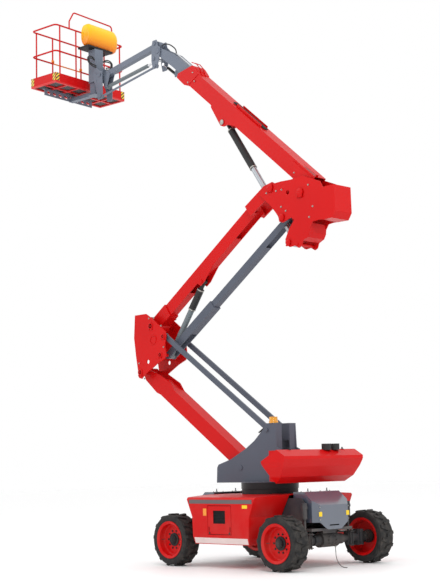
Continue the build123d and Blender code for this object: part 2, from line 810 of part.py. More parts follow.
def platform_mast():
    x = rotator_x
    shape = block(x - 100, x + 100, -100, 100, 8990, 9640)
    cheek = [(4040, 9130), (4110, 9150), (4300, 9300), (4300, 8992), (4250, 8930), (4170, 8590),
             (4040, 8580), (4030, 8700)]
    shape += pair(cheek, 110, 126)
    shape += block(4272, 4300, -126, 126, 8995, 9300)
    shape += drum(mast_pivot, 26, -136, 136)
    shape += drum(mast_link, 22, 62, 134)
    shape -= post(x, 0, 60 + running_gap, 8980, 9300)
    return shape


parts["platform_mast"] = platform_mast()


# Platform. Its pieces are made about their own centre and turned to the rest position.


def on_platform(shape):
    return Pos(platform_centre[0], platform_centre[1], 0) * Rot(0, 0, platform_turn) * shape


def platform_support():
    # Foot that the rotator turns, with an arm to a perforated beam under the floor
    foot = 61
    shape = block(-590, -450, foot - 70, foot + 70, 8740, 8984)
    shape += block(-620, -420, foot - 100, foot + 100, 8740, 8756)
    shape += block(-590, 160, foot - 55, foot + 55, 8740, 8806)
    beam = block(110, 122, -470, 800, 8735, platform_floor) + block(110, 190, -470, 800, 8861,
        platform_floor)
    holes = 8
    for k in range(holes):
        y = -360 + k * 1050 / (holes - 1)
        outline = [(y - 46, 8790), (y - 16, 8762), (y + 46, 8790), (y + 46, 8812), (y + 16, 8836),
                   (y - 46, 8812)]
        face = make_face(Polyline(*[(100, q, z) for q, z in outline], close=True))
        beam -= extrude(face, amount=40, dir=(1, 0, 0))
    return on_platform(shape + beam) + post(rotator_x, 0, 60, 8900, 9290)


def pipe(points, radius, bend):
    path = FilletPolyline(*points, radius=bend)
    return sweep(Plane(origin=path @ 0, z_dir=path % 0) * Circle(radius), path=path)


def rail_sides(z, gate=False):
    # One bent rail round the platform, cut into its four sides at the middle of each corner
    a, b, r = platform_depth / 2 - rail_radius, platform_length / 2 - rail_radius, corner_radius
    start, stop = (gate_half + rail_radius, -gate_half - rail_radius) if gate else (1, 0)
    points = [(a, start, z), (a, b, z), (-a, b, z), (-a, -b, z), (a, -b, z), (a, stop, z)]
    loop = pipe(points, rail_radius, r)
    if not gate:
        loop += extrude(Plane(origin=(a, -1, z), z_dir=(0, 1, 0)) * Circle(rail_radius), amount=3)
    cx, cy, far = a - r, b - r, 400
    wedges = [
        [(cx, cy), (cx + far, cy + far), (cx + far, -cy - far), (cx, -cy)],
        [(-cx, cy), (-cx - far, cy + far), (-cx - far, -cy - far), (-cx, -cy)],
        [(cx, cy), (cx + far, cy + far), (-cx - far, cy + far), (-cx, cy)],
        [(cx, -cy), (cx + far, -cy - far), (-cx - far, -cy - far), (-cx, -cy)],
    ]
    sides = []
    for wedge in wedges:
        face = make_face(Polyline(*[(x, y, z - 40) for x, y in wedge], close=True))
        sides += (loop & extrude(face, amount=80, dir=(0, 0, 1))).solids()
    return sides


def basket_frame():
    a, b = platform_depth / 2, platform_length / 2
    rails = rail_sides(rail_height - rail_radius) + rail_sides(mid_rail_height, gate=True)
    high, low = platform_floor + 190, platform_floor + 28
    solids = []
    for x in (-a + rail_radius, a - rail_radius):
        for y in (-826, -gate_half, gate_half, 810):
            piece = post(x, y, rail_radius - 1.5, high, rail_height - 2 * rail_radius)
            for rail in rails:
                piece -= rail
            solids += piece.solids()
    # Toe boards, butted at the corners
    for x in (-a, a - 4):
        solids.append(block(x, x + 4, -b, b, low, high))
    for y in (-b, b - 4):
        solids.append(block(-a + 4, a - 4, y, y + 4, low, high))
    # Guard hoop over the controls, standing on the rail beside them
    top = rail_height
    x = rail_radius - platform_depth / 2
    hoop = [(x, 560, top - 40), (x, 560, top + 130), (x, 440, top + 334), (x, -600, top + 318),
            (x, -640, top - 40)]
    piece = pipe(hoop, 14, 60)
    for rail in rails:
        piece -= rail
    solids += [part for part in piece.solids() if part.bounding_box().max.Z > top + 100]
    return on_platform(Compound(rails + solids))


def gate_bar():
    # Sliding bar across the entrance, hung from a collar on each gate post
    x, end, collar = platform_depth / 2 - rail_radius, gate_half - 30, mid_rail_height + 22
    shape = extrude(Plane(origin=(x, -end, mid_rail_height), z_dir=(0, 1, 0)) * Circle(13), amount=2 * end)
    for side in (1, -1):
        shape += post(x, side * end, 10, mid_rail_height - 12, collar + 40)
        shape += post(x, side * gate_half, 24, collar, collar + 48)
    for side in (1, -1):
        shape -= post(x, side * gate_half, rail_radius - 1.5 + running_gap, collar - 60, collar + 100)
    return on_platform(shape)


def basket_floor():
    # Frame of flat bars with thin mesh panels between them, its walking surface inside the toe boards
    a, b, z = platform_depth / 2, platform_length / 2, platform_floor
    shape = block(-a, a, -b, b, z, z + 28) + block(-a + 4, a - 4, -b + 4, b - 4, z, z + 40)
    shape -= block(-a + 45, a - 45, -b + 45, b - 45, z - 10, z + 60)
    for y in (-605, -300, 0, 300, 605):
        shape += block(-a + 10, a - 10, y - 20, y + 20, z, z + 40)
    shape += block(-20, 20, -b + 10, b - 10, z, z + 40)
    shape += block(-a + 10, a - 10, -b + 10, b - 10, z + 28, z + 40)
    return on_platform(shape)


def console():
    # Rounded cover over the upper controls, on a black tray
    cover = block(-610, -352, -580, 380, 9690, 10200)
    cover = fillet(cover.edges().filter_by(Axis.Y), 110)
    tray = block(-625, -330, -330, 330, 9655, 9690) - block(-612, -343, -317, 317, 9668, 9700)
    return on_platform(cover), on_platform(tray)


def cord(points, diameter):
    # Straight runs joined by tangent arcs, each as wide as its shorter run allows
    runs = [distance3(p, q) for p, q in zip(points, points[1:])]
    edges, start = [], Vector(points[0])
    for k in range(1, len(points) - 1):
        here = Vector(points[k])
        back = (Vector(points[k - 1]) - here).normalized()
        ahead = (Vector(points[k + 1]) - here).normalized()
        reach = 0.45 * min(runs[k - 1], runs[k])
        half_turn = radians(180 - back.get_angle(ahead)) / 2
        radius = reach / tan(half_turn)
        middle = here + (back + ahead).normalized() * (radius / cos(half_turn) - radius)
        edges.append(Line(start, here + back * reach))
        edges.append(ThreePointArc(here + back * reach, middle, here + ahead * reach))
        print("cord bend", k, "radius", round(radius, 1))
        start = here + ahead * reach
    edges.append(Line(start, Vector(points[-1])))
    path = Wire(edges)
    shape = sweep(Plane(origin=path @ 0, z_dir=path % 0) * Circle(diameter / 2), path=path)
    print("cord length", round(path.length, 1), "volume over section times length",
          round(shape.volume / (pi * diameter ** 2 / 4 * path.length), 4))
    print("cord's lowest point", round(shape.bounding_box().min.Z, 2))
    return shape


parts["ground_strap"] = cord(strap_route, strap_diameter)
parts["strap_clip"] = post(*strap_route[0][:2], 13, strap_route[0][2], 352) - parts["steer_axle"]
parts["platform_support"] = platform_support()
parts["basket_frame"] = basket_frame()
parts["basket_floor"] = basket_floor() - parts["platform_support"]
parts["gate_bar"] = gate_bar()
parts["console_cover"], parts["console_tray"] = console()

os.makedirs("parts", exist_ok=True)
for old in os.listdir("parts"):
    os.remove(os.path.join("parts", old))
for name, shape in parts.items():
    export_step(shape, os.path.join("parts", name + ".step"))
print(len(parts), "nodes")
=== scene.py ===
# Articulating boom lift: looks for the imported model, in metres
import math
import bpy
import numpy as np
from mathutils import Matrix, Vector


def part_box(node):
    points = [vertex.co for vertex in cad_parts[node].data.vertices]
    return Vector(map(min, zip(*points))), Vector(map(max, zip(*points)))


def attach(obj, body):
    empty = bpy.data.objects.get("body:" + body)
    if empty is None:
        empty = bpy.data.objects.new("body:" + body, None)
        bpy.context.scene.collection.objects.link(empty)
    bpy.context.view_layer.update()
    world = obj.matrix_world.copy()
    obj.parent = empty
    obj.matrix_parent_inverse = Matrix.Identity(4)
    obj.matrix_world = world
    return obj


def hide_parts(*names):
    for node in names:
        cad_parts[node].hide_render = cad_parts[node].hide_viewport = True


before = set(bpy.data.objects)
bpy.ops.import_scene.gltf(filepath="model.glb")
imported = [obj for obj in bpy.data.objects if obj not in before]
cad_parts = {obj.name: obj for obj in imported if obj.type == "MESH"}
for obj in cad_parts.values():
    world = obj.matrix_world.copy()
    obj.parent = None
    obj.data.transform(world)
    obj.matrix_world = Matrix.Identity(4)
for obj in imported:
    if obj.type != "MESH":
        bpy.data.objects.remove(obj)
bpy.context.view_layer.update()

# angles in radians, lens and sensor in millimetres
view = {"eye": (-14.4056, 14.9509, 1.6113), "yaw": -0.768589, "tilt": 0.133166, "roll": -0.023805,
        "lens": 77.9, "sensor": 36, "far": 200}


def addCamera():
    # columns of the turn are right, up and back; roll turns right and up about the line of sight
    cy, sy, ct, st = (f(view[a]) for a in ("yaw", "tilt") for f in (math.cos, math.sin))
    ahead = Vector((cy * ct, sy * ct, st))
    right = Vector((sy, -cy, 0))
    up = right.cross(ahead)
    c, s = math.cos(view["roll"]), math.sin(view["roll"])
    turn = Matrix((c * right + s * up, c * up - s * right, -ahead)).transposed()
    data = bpy.data.cameras.new("camera")
    data.lens, data.sensor_width, data.clip_end = view["lens"], view["sensor"], view["far"]
    camera = bpy.data.objects.new("camera", data)
    camera.matrix_world = Matrix.Translation(view["eye"]) @ turn.to_4x4()
    bpy.context.collection.objects.link(camera)
    bpy.context.scene.camera = camera


addCamera()
print("camera set")


class Amount:
    # a number that flows through a material: sums and products on it add Math nodes
    def __init__(self, paint, socket):
        self.paint, self.socket = paint, socket

    def math(self, kind, *others, clamp=False):
        node = self.paint.node("ShaderNodeMath", {"operation": kind, "use_clamp": clamp}, self, *others)
        return node.out()

    def __add__(self, other):
        return self.math("ADD", other)

    def __radd__(self, other):
        return self + other

    def __sub__(self, other):
        return self.math("SUBTRACT", other)

    def __rsub__(self, other):
        return self.paint.node("ShaderNodeMath", {"operation": "SUBTRACT"}, other, self).out()

    def __mul__(self, other):
        return self.math("MULTIPLY", other)

    def __rmul__(self, other):
        return self * other

    def __truediv__(self, other):
        return self.math("DIVIDE", other)

    def __abs__(self):
        return self.math("ABSOLUTE")

    def held(self):
        # kept between 0 and 1
        return self.math("ADD", 0.0, clamp=True)

    def above(self, edge, soft=0.001):
        # climbs from 0 to 1 over the soft width about the edge
        return ((self - edge) / soft + 0.5).held()

    def below(self, edge, soft=0.001):
        return 1 - self.above(edge, soft)

    def within(self, low, high, soft=0.001):
        return self.above(low, soft) * self.below(high, soft)


class Step:
    # one node, with its outputs read by name or number
    def __init__(self, paint, node):
        self.paint, self.made = paint, node

    def out(self, name=0):
        return Amount(self.paint, self.made.outputs[name])


class Paint:
    # a material on one Principled shader
    def __init__(self, name, **fixed):
        self.material = bpy.data.materials.new(name)
        self.material.use_nodes = True
        self.tree = self.material.node_tree
        self.shader = self.tree.nodes["Principled BSDF"]
        self.place = self.node("ShaderNodeTexCoord", {}).out("Object")
        self.set(**fixed)

    def feed(self, socket, value):
        # a link for an amount, a fixed value for anything else
        if isinstance(value, Amount):
            self.tree.links.new(value.socket, socket)
        else:
            socket.default_value = value

    def node(self, kind, settings, *values, **named):
        made = self.tree.nodes.new(kind)
        for key, value in settings.items():
            setattr(made, key, value)
        for key, value in list(enumerate(values)) + list(named.items()):
            self.feed(made.inputs[key], value)
        return Step(self, made)

    def axes(self):
        split = self.node("ShaderNodeSeparateXYZ", {}, self.place)
        return [split.out(k) for k in "XYZ"]

    def noise(self, scale, detail=3, rough=0.55):
        return self.node("ShaderNodeTexNoise", {}, Vector=self.place, Scale=scale, Detail=detail,
                         Roughness=rough).out(0)

    def blend(self, share, first, second):
        # inputs 6 and 7 and output 2 of a Mix node carry its colours
        node = self.node("ShaderNodeMix", {"data_type": "RGBA"}, share)
        self.feed(node.made.inputs[6], first)
        self.feed(node.made.inputs[7], second)
        return node.out(2)

    def bump(self, height, depth, strength=1.0):
        made = self.node("ShaderNodeBump", {}, Height=height, Distance=depth, Strength=strength)
        self.set(Normal=made.out())

    def set(self, **values):
        for key, value in values.items():
            self.feed(self.shader.inputs[key.replace("_", " ")], value)


def shade(r, g, b):
    return (r, g, b, 1)


# shades that several materials share
shades = {"red": shade(0.60, 0.004, 0.004), "deepRed": shade(0.52, 0.003, 0.004),
          "slate": shade(0.100, 0.112, 0.145), "deepSlate": shade(0.078, 0.088, 0.115),
          "dust": shade(0.32, 0.27, 0.22)}

# noise scale, detail and roughness; what is taken off before the noise is stretched; how the dust lies
enamel = {"tone": (0.9, 4), "toneStart": 0.3, "toneStretch": 1.6, "coatRough": 0.12,
          "peel": (45, 3), "peelRough": 0.05, "peelBump": (0.0008, 0.08),
          "scuffs": (7, 6, 0.7), "scuffEdge": (0.66, 0.12), "scuffRough": 0.12, "dustRough": 0.5,
          "patches": (2.3, 5), "patchStart": 0.42, "patchStretch": 4, "dustHeight": 1.3}


def dirtied(paint, base, dusty, amount=0.35, high=enamel["dustHeight"]):
    # dust gathers in cloudy patches, and more of it towards the ground: patches times 1 - z / high
    ground = 1 - (paint.axes()[2] / high).held()
    patches = (paint.noise(*enamel["patches"]) - enamel["patchStart"]) * enamel["patchStretch"]
    share = patches.math("MULTIPLY", ground, clamp=True) * amount
    return paint.blend(share, base, dusty), share


def toned(paint, base, deep):
    # slow shifts between two tones
    share = (paint.noise(*enamel["tone"]) - enamel["toneStart"]) * enamel["toneStretch"]
    return paint.blend(share, base, deep)


def paintedPanel(name, base, deep, rough=0.30, coat=0.12, dust=0.15, gloss=0.12):
    # enamel: slow shifts of tone, faint orange peel, and dust low down
    paint = Paint(name, Coat_Weight=coat, Coat_Roughness=enamel["coatRough"], Specular_IOR_Level=gloss)
    colour, share = dirtied(paint, toned(paint, base, deep), shades["dust"], dust)
    peel = paint.noise(*enamel["peel"])
    scuffs = paint.noise(*enamel["scuffs"]).above(*enamel["scuffEdge"])
    paint.set(Base_Color=colour, Roughness=rough + peel * enamel["peelRough"] + scuffs * enamel["scuffRough"]
              + share * enamel["dustRough"])
    paint.bump(peel, *enamel["peelBump"])
    return paint


red = paintedPanel("redEnamel", shades["red"], shades["deepRed"], 0.32, 0.06)
grey = paintedPanel("slateEnamel", shades["slate"], shades["deepSlate"], 0.34, 0.1)
boomGrey = paintedPanel("boomEnamel", shade(0.165, 0.190, 0.240), shade(0.135, 0.155, 0.195), 0.34, 0.1)
paleGrey = paintedPanel("hoodEnamel", shade(0.085, 0.102, 0.140), shade(0.068, 0.082, 0.115), 0.16, 1.0, 0.1,
                        0.6)
dark = paintedPanel("frameEnamel", shade(0.050, 0.050, 0.058), shade(0.035, 0.035, 0.040), 0.4, 0.2, 0.5)
black = paintedPanel("blackEnamel", shade(0.016, 0.016, 0.018), shade(0.022, 0.022, 0.024), 0.45, 0.1, 0.4)
bandGrey = paintedPanel("bandEnamel", shade(0.150, 0.125, 0.128), shade(0.110, 0.092, 0.095), 0.3, 0.2)
sillWhite = paintedPanel("sillEnamel", shade(0.80, 0.66, 0.64), shade(0.74, 0.60, 0.58), 0.35, 0.3)
yellowPlate = paintedPanel("yellowEnamel", shade(0.90, 0.62, 0.03), shade(0.86, 0.56, 0.02), 0.35, 0.2)
orangePlate = paintedPanel("orangeEnamel", shade(0.86, 0.33, 0.05), shade(0.80, 0.28, 0.04), 0.35, 0.2)
cylinderGrey = paintedPanel("cylinderEnamel", shade(0.17, 0.20, 0.215), shade(0.13, 0.155, 0.17), 0.3, 0.2)
gateOrange = paintedPanel("gateEnamel", shade(0.88, 0.25, 0.02), shade(0.80, 0.20, 0.02), 0.3, 0.1)
print("enamels mixed")

castLook = {"metal": 0.35, "grain": (95, 4, 0.7), "rough": 0.62, "grainRough": 0.2,
            "bump": (0.004, 0.5), "base": shade(0.030, 0.030, 0.033),
            "dust": shade(0.22, 0.18, 0.15), "dustAmount": 0.6, "dustHeight": 0.9}


def castMetal():
    # rough grey casting with dust low down
    look = castLook
    paint = Paint("castIron", Metallic=look["metal"])
    grain = paint.noise(*look["grain"])
    colour, share = dirtied(paint, look["base"], look["dust"], look["dustAmount"], look["dustHeight"])
    paint.set(Base_Color=colour, Roughness=look["rough"] + grain * look["grainRough"])
    paint.bump(grain, *look["bump"])
    return paint


steelLook = {"lines": (900, 2), "lineRough": 0.08, "bump": (0.0002, 0.1),
             "stain": (6, 5, 0.7), "stainEdge": (0.6, 0.2), "stainShare": 0.35, "stainRough": 0.2,
             "stainShade": shade(0.30, 0.27, 0.24)}


def brightSteel(name, base, rough):
    # turned or ground steel: fine drawn lines along the piece
    look = steelLook
    paint = Paint(name, Metallic=1.0)
    lines = paint.noise(*look["lines"])
    stain = paint.noise(*look["stain"]).above(*look["stainEdge"])
    paint.set(Base_Color=paint.blend(stain * look["stainShare"], base, look["stainShade"]),
              Roughness=rough + lines * look["lineRough"] + stain * look["stainRough"])
    paint.bump(lines, *look["bump"])
    return paint


# radii from the wheel's axle, which is at x and z
tyreLook = {"axle": (1.1825, 0.416), "gloss": 0.35, "ringsApart": 230, "rings": (0.30, 0.372, 0.006),
            "bead": (0.296, 0.306, 0.004), "grain": (160, 4, 0.65), "dust": (11, 6, 0.7), "dustStart": 0.40,
            "dustStretch": 3.0, "tread": (0.385, 0.012), "dustShare": (0.25, 0.30),
            "base": shade(0.014, 0.014, 0.015), "dustShade": shade(0.11, 0.095, 0.080),
            "rough": 0.68, "grainRough": 0.2, "relief": (0.35, 0.6, 0.5), "bump": (0.003, 0.7)}


def tyreRubber():
    # rings on the sidewall by the sine of the distance from the wheel's axle, and grey dust in the tread
    look = tyreLook
    paint = Paint("tyreRubber", Specular_IOR_Level=look["gloss"])
    x, y, z = paint.axes()
    dx, dz = abs(x) - look["axle"][0], z - look["axle"][1]
    away = (dx * dx + dz * dz).math("SQRT")
    rings = (away * look["ringsApart"]).math("SINE") * away.within(*look["rings"])
    bead = away.within(*look["bead"])
    grain = paint.noise(*look["grain"])
    dust = (paint.noise(*look["dust"]) - look["dustStart"]).math("MULTIPLY", look["dustStretch"], clamp=True)
    everywhere, onTread = look["dustShare"]
    share = dust * (everywhere + away.above(*look["tread"]) * onTread)
    paint.set(Base_Color=paint.blend(share, look["base"], look["dustShade"]),
              Roughness=look["rough"] + grain * look["grainRough"])
    ringRelief, beadRelief, grainRelief = look["relief"]
    paint.bump(rings * ringRelief + bead * beadRelief + grain * grainRelief, *look["bump"])
    return paint


plasticLook = {"gloss": 0.5, "pores": (420, 3), "poreRough": 0.12, "tone": (1.6, 4), "deeper": 0.82,
               "wear": (5, 5, 0.65), "wearEdge": (0.60, 0.15), "wearRough": 0.1, "strength": 0.4}


def plastic(name, base, rough, grain=0.0006):
    # pored black plastic or rubber, a little more matt where it is worn
    look = plasticLook
    paint = Paint(name, Specular_IOR_Level=look["gloss"])
    pores = paint.noise(*look["pores"])
    wear = paint.noise(*look["wear"]).above(*look["wearEdge"])
    deeper = shade(*(look["deeper"] * c for c in base[:3]))
    paint.set(Base_Color=paint.blend(paint.noise(*look["tone"]), base, deeper),
              Roughness=rough + pores * look["poreRough"] + wear * look["wearRough"])
    paint.bump(pores, grain, look["strength"])
    return paint


lensLook = {"through": 0.35, "ior": 1.49, "rough": 0.12, "coat": 0.5, "ribsApart": 620,
            "ribShare": (0.2, 0.3), "pale": shade(1.0, 0.50, 0.02), "deep": shade(0.90, 0.34, 0.01),
            "bump": (0.002, 0.5)}


def amberLens():
    # clear amber, ribbed by the sine of its height
    look = lensLook
    paint = Paint("amberLens", Transmission_Weight=look["through"], IOR=look["ior"], Roughness=look["rough"],
                  Coat_Weight=look["coat"])
    ribs = (paint.axes()[2] * look["ribsApart"]).math("SINE")
    swing, middle = look["ribShare"]
    paint.set(Base_Color=paint.blend(ribs * swing + middle, look["pale"], look["deep"]))
    paint.bump(ribs, *look["bump"])
    return paint


stripeLook = {"coat": 0.2, "barsApart": 95, "soft": 0.15, "grime": (25, 5, 0.7), "grimeEdge": (0.58, 0.2),
              "grimeShare": 0.4, "yellow": shade(0.92, 0.66, 0.02), "black": shade(0.02, 0.02, 0.02),
              "grimeShade": shade(0.25, 0.20, 0.14), "rough": 0.42, "grimeRough": 0.4,
              "pores": (300, 2), "bump": (0.0004, 0.2)}


def hazardStripes():
    # yellow and black bars that climb at 45 degrees: black where the sine of x + y + z is above 0
    look = stripeLook
    paint = Paint("hazardStripes", Coat_Weight=look["coat"])
    x, y, z = paint.axes()
    bars = ((x + y + z) * look["barsApart"]).math("SINE").above(0.0, look["soft"])
    grime = paint.noise(*look["grime"]).above(*look["grimeEdge"]) * look["grimeShare"]
    colour = paint.blend(bars, look["yellow"], look["black"])
    paint.set(Base_Color=paint.blend(grime, colour, look["grimeShade"]),
              Roughness=look["rough"] + grime * look["grimeRough"])
    paint.bump(paint.noise(*look["pores"]), *look["bump"])
    return paint


# panel's sides in x and z; the slots' distances from the middle in x, and their z; black painted shade lies
# on the faces behind the skin
doorLook = {"panelX": (-0.1155, 0.1505), "panelZ": (0.6895, 0.8905), "skin": 1.1385, "soft": 0.0004,
            "slotsMiddle": 0.015, "slotsX": (0.225, 0.241), "slotsZ": (0.559, 0.641), "slotSoft": 0.0006,
            "coat": 0.06, "gloss": 0.12, "dust": 0.15, "rough": 0.30, "shadeRough": 0.3,
            "dark": shade(0.018, 0.018, 0.020)}


def louvreDoor():
    # the red door, with painted shade: its recessed louvre panel and handle slots painted black
    look = doorLook
    soft, slotSoft = look["soft"], look["slotSoft"]
    paint = Paint("doorEnamel", Coat_Weight=look["coat"], Coat_Roughness=enamel["coatRough"],
                  Specular_IOR_Level=look["gloss"])
    x, y, z = paint.axes()
    shadedRecess = y.below(look["skin"], soft)
    panel = x.within(*look["panelX"], soft) * z.within(*look["panelZ"], soft) * shadedRecess
    across = abs(x - look["slotsMiddle"]).within(*look["slotsX"], slotSoft)
    slots = across * z.within(*look["slotsZ"], slotSoft) * shadedRecess
    # painted shade: faces set behind the door's skin are painted near black and made more matt
    dark = (panel + slots).held()
    tone = toned(paint, shades["red"], shades["deepRed"])
    colour, share = dirtied(paint, tone, shades["dust"], look["dust"])
    peel = paint.noise(*enamel["peel"])
    paint.set(Base_Color=paint.blend(dark, colour, look["dark"]),
              Roughness=look["rough"] + peel * enamel["peelRough"] + dark * look["shadeRough"])
    paint.bump(peel, *enamel["peelBump"])
    return paint


cheekLook = {"floor": 1.2995, "soft": 0.0004, "dark": shade(0.020, 0.020, 0.022)}


def cheekPaint():
    # slate above the turntable's floor plate, black on the ring that carries it
    paint = paintedPanel("cheekEnamel", shades["slate"], shades["deepSlate"], 0.34, 0.1)
    base = Amount(paint, paint.shader.inputs["Base Color"].links[0].from_socket)
    lower = paint.axes()[2].below(cheekLook["floor"], cheekLook["soft"])
    paint.set(Base_Color=paint.blend(lower, base, cheekLook["dark"]))
    return paint


# the platform stands turned a little about its mast, with its middle at x and y
platformFit = {"turn": 0.1117, "middle": (4.927, 0.0), "half": (0.345, 0.935),
               "lift": 0.0015, "stripeZ": 8.985, "stripeHeight": 0.145, "stripeThick": 0.003,
               "longStripe": (0.885, 0.085), "shortStripe": (0.300, 0.075)}

floorLook = {"cells": 26, "slant": 0.5, "hole": (0.36, 0.06), "top": (8.8995, 0.0004),
             "halfWidth": (0.300, 0.0006), "halfLength": (0.890, 0.0006),
             "wear": (9, 6, 0.7), "wearEdge": (0.55, 0.2), "wearShare": 0.5,
             "metal": shade(0.10, 0.10, 0.11), "worn": shade(0.20, 0.19, 0.18),
             "bars": shade(0.62, 0.005, 0.005), "paintedHoleShade": shade(0.012, 0.012, 0.013),
             "rough": 0.42, "holeRough": 0.4,
             "bump": (0.004, 0.8)}


def meshFloor():
    # red flat bars, and expanded metal between them: staggered diamonds painted near black as painted shade
    # in the holes, where both slanting distances u + v / 2 and u - v / 2 are near a cell's middle
    look = floorLook
    paint = Paint("meshFloor")
    x, y, z = paint.axes()
    c, s = math.cos(platformFit["turn"]), math.sin(platformFit["turn"])
    across = x - platformFit["middle"][0]
    u, v = across * c + y * s, y * c - across * s
    first = abs(((u + v * look["slant"]) * look["cells"]).math("FRACT") - 0.5)
    second = abs(((u - v * look["slant"]) * look["cells"]).math("FRACT") - 0.5)
    holes = first.below(*look["hole"]) * second.below(*look["hole"])
    panel = z.above(*look["top"]) * abs(u).below(*look["halfWidth"]) * abs(v).below(*look["halfLength"])
    # painted shade: the holes of the mesh are painted near black
    share = holes * panel
    wear = paint.noise(*look["wear"]).above(*look["wearEdge"]) * look["wearShare"]
    metal = paint.blend(wear, look["metal"], look["worn"])
    paint.set(Base_Color=paint.blend(share, paint.blend(panel, look["bars"], metal), look["paintedHoleShade"]),
              Roughness=look["rough"] + share * look["holeRough"])
    paint.bump(1 - share, *look["bump"])
    return paint


hoseLook = {"gloss": 0.4, "grain": (350, 3), "tone": (14, 4), "base": shade(0.012, 0.012, 0.013),
            "pale": shade(0.028, 0.028, 0.030), "rough": 0.45, "grainRough": 0.2,
            "bump": (0.0008, 0.5)}


def hoseRubber():
    # fine matt grain
    look = hoseLook
    paint = Paint("hoseRubber", Specular_IOR_Level=look["gloss"])
    grain = paint.noise(*look["grain"])
    paint.set(Base_Color=paint.blend(paint.noise(*look["tone"]), look["base"], look["pale"]),
              Roughness=look["rough"] + grain * look["grainRough"])
    paint.bump(grain, *look["bump"])
    return paint


# the fall from yellow at the crown to orange below it is painted shading, lit above and shaded below
coverLook = {"coat": 0.15, "coatRough": 0.15, "gloss": 0.2, "crown": 10.08, "shadingDrop": 0.34, "pores": (90, 3),
             "scratches": (24, 6, 0.7), "scratchEdge": (0.66, 0.1), "yellow": shade(0.95, 0.60, 0.015),
             "orange": shade(0.80, 0.20, 0.008), "rough": 0.26, "poreRough": 0.08, "scratchRough": 0.12,
             "bump": (0.0006, 0.08)}


def mouldedCover():
    # glossy plastic with painted shading: lit yellow at its crown, running down to shaded orange at its belly
    look = coverLook
    paint = Paint("mouldedCover", Coat_Weight=look["coat"], Coat_Roughness=look["coatRough"],
                  Specular_IOR_Level=look["gloss"])
    # painted shading: the share of shaded orange grows down from the crown
    share = ((look["crown"] - paint.axes()[2]) / look["shadingDrop"]).held()
    pores = paint.noise(*look["pores"])
    scratches = paint.noise(*look["scratches"]).above(*look["scratchEdge"])
    paint.set(Base_Color=paint.blend(share, look["yellow"], look["orange"]),
              Roughness=look["rough"] + pores * look["poreRough"] + scratches * look["scratchRough"])
    paint.bump(pores, *look["bump"])
    return paint


cast = castMetal()
chrome = brightSteel("pistonSteel", shade(0.72, 0.73, 0.75), 0.14)
zinc = brightSteel("platedSteel", shade(0.42, 0.41, 0.38), 0.42)
silver = brightSteel("silverPaint", shade(0.46, 0.49, 0.52), 0.32)
tyreRub = tyreRubber()
moulded = mouldedCover()
rubberBlack = plastic("blackRubber", shade(0.016, 0.016, 0.017), 0.55, 0.001)
amber = amberLens()
stripes = hazardStripes()
louvre = louvreDoor()
cheeks = cheekPaint()
grating = meshFloor()
hoseBlack = hoseRubber()

nodeFinish = {
    "chassis_body": red, "access_door": louvre, "engine_block": cast, "chassis_frame": dark,
    "end_hoods": paleGrey, "strap_clip": zinc, "ground_strap": rubberBlack,
    "slew_ring": black, "steer_axle": cast, "drive_axle": cast, "steering_cylinder": silver,
    "steering_rod": zinc, "steer_knuckle_left": cast, "steer_knuckle_right": cast,
    "turntable_frame": cheeks, "counterweight": red, "buffer_caps": rubberBlack, "beacon": amber,
    "lower_arm": red, "lower_link_rods": grey, "lower_knuckle": red,
    "upper_arm": red, "upper_link": grey, "upper_knuckle": red,
    "riser_cylinder_barrel": cylinderGrey, "riser_cylinder_rod": rubberBlack,
    "boom_cylinder_barrel": silver, "boom_cylinder_rod": rubberBlack,
    "main_boom": red, "inner_boom": boomGrey, "jib_head": boomGrey,
    "level_cylinder_barrel": black, "level_cylinder_rod": chrome,
    "jib_tube": boomGrey, "jib_link": boomGrey, "jib_cylinder_barrel": cylinderGrey,
    "jib_cylinder_rod": chrome, "platform_mast": boomGrey, "platform_support": boomGrey,
    "basket_frame": red, "basket_floor": grating, "gate_bar": gateOrange,
    "console_cover": moulded, "console_tray": black}
for wheel in ("left_steer", "right_steer", "left_drive", "right_drive"):
    nodeFinish["tyre_" + wheel] = tyreRub
    nodeFinish["rim_" + wheel] = red
    nodeFinish["hub_" + wheel] = black


def dressNodes():
    for name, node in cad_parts.items():
        finish = nodeFinish.get(name, grey).material
        for index in range(max(1, len(node.material_slots))):
            if index < len(node.material_slots):
                node.material_slots[index].material = finish
            else:
                node.data.materials.append(finish)


dressNodes()
print("packed nodes painted")

xAxis, yAxis, zAxis = np.eye(3)


def stacked(rings):
    # rings of equal length joined by quads, ring after ring, and capped at both ends
    rings = np.asarray(rings, float)
    count, size = rings.shape[:2]
    i, j = np.meshgrid(np.arange(count - 1), np.arange(size), indexing="ij")
    k = (j + 1) % size
    quads = np.stack([i * size + j, i * size + k, (i + 1) * size + k, (i + 1) * size + j], -1).reshape(-1, 4)
    caps = [list(range(size))[::-1], list(range((count - 1) * size, count * size))]
    return rings.reshape(-1, 3), quads.tolist() + caps


def volume(points, faces):
    # sum over each face's fan of triangles of their signed volume with the origin
    total = 0.0
    for face in faces:
        p = points[face]
        total += np.einsum("ij,ij->i", np.cross(p[1:-1], p[2:]), np.broadcast_to(p[0], p[2:].shape)).sum()
    return total / 6


def build(name, shapes, paint, body, angle=35):
    # one piece from closed shapes, their faces turned outward; edges over the angle stay sharp
    points, faces, start = [], [], 0
    for vertices, loops in shapes:
        if volume(vertices - vertices.mean(0), loops) < 0:
            loops = [loop[::-1] for loop in loops]
        points.append(vertices)
        faces += [[v + start for v in loop] for loop in loops]
        start += len(vertices)
    mesh = bpy.data.meshes.new(name)
    mesh.from_pydata(np.concatenate(points).tolist(), [], faces)
    mesh.polygons.foreach_set("use_smooth", np.ones(len(faces), bool))
    mesh.set_sharp_from_angle(angle=math.radians(angle))
    mesh.materials.append(paint.material)
    mesh.update()
    piece = bpy.data.objects.new(name, mesh)
    bpy.context.collection.objects.link(piece)
    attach(piece, body)
    return piece


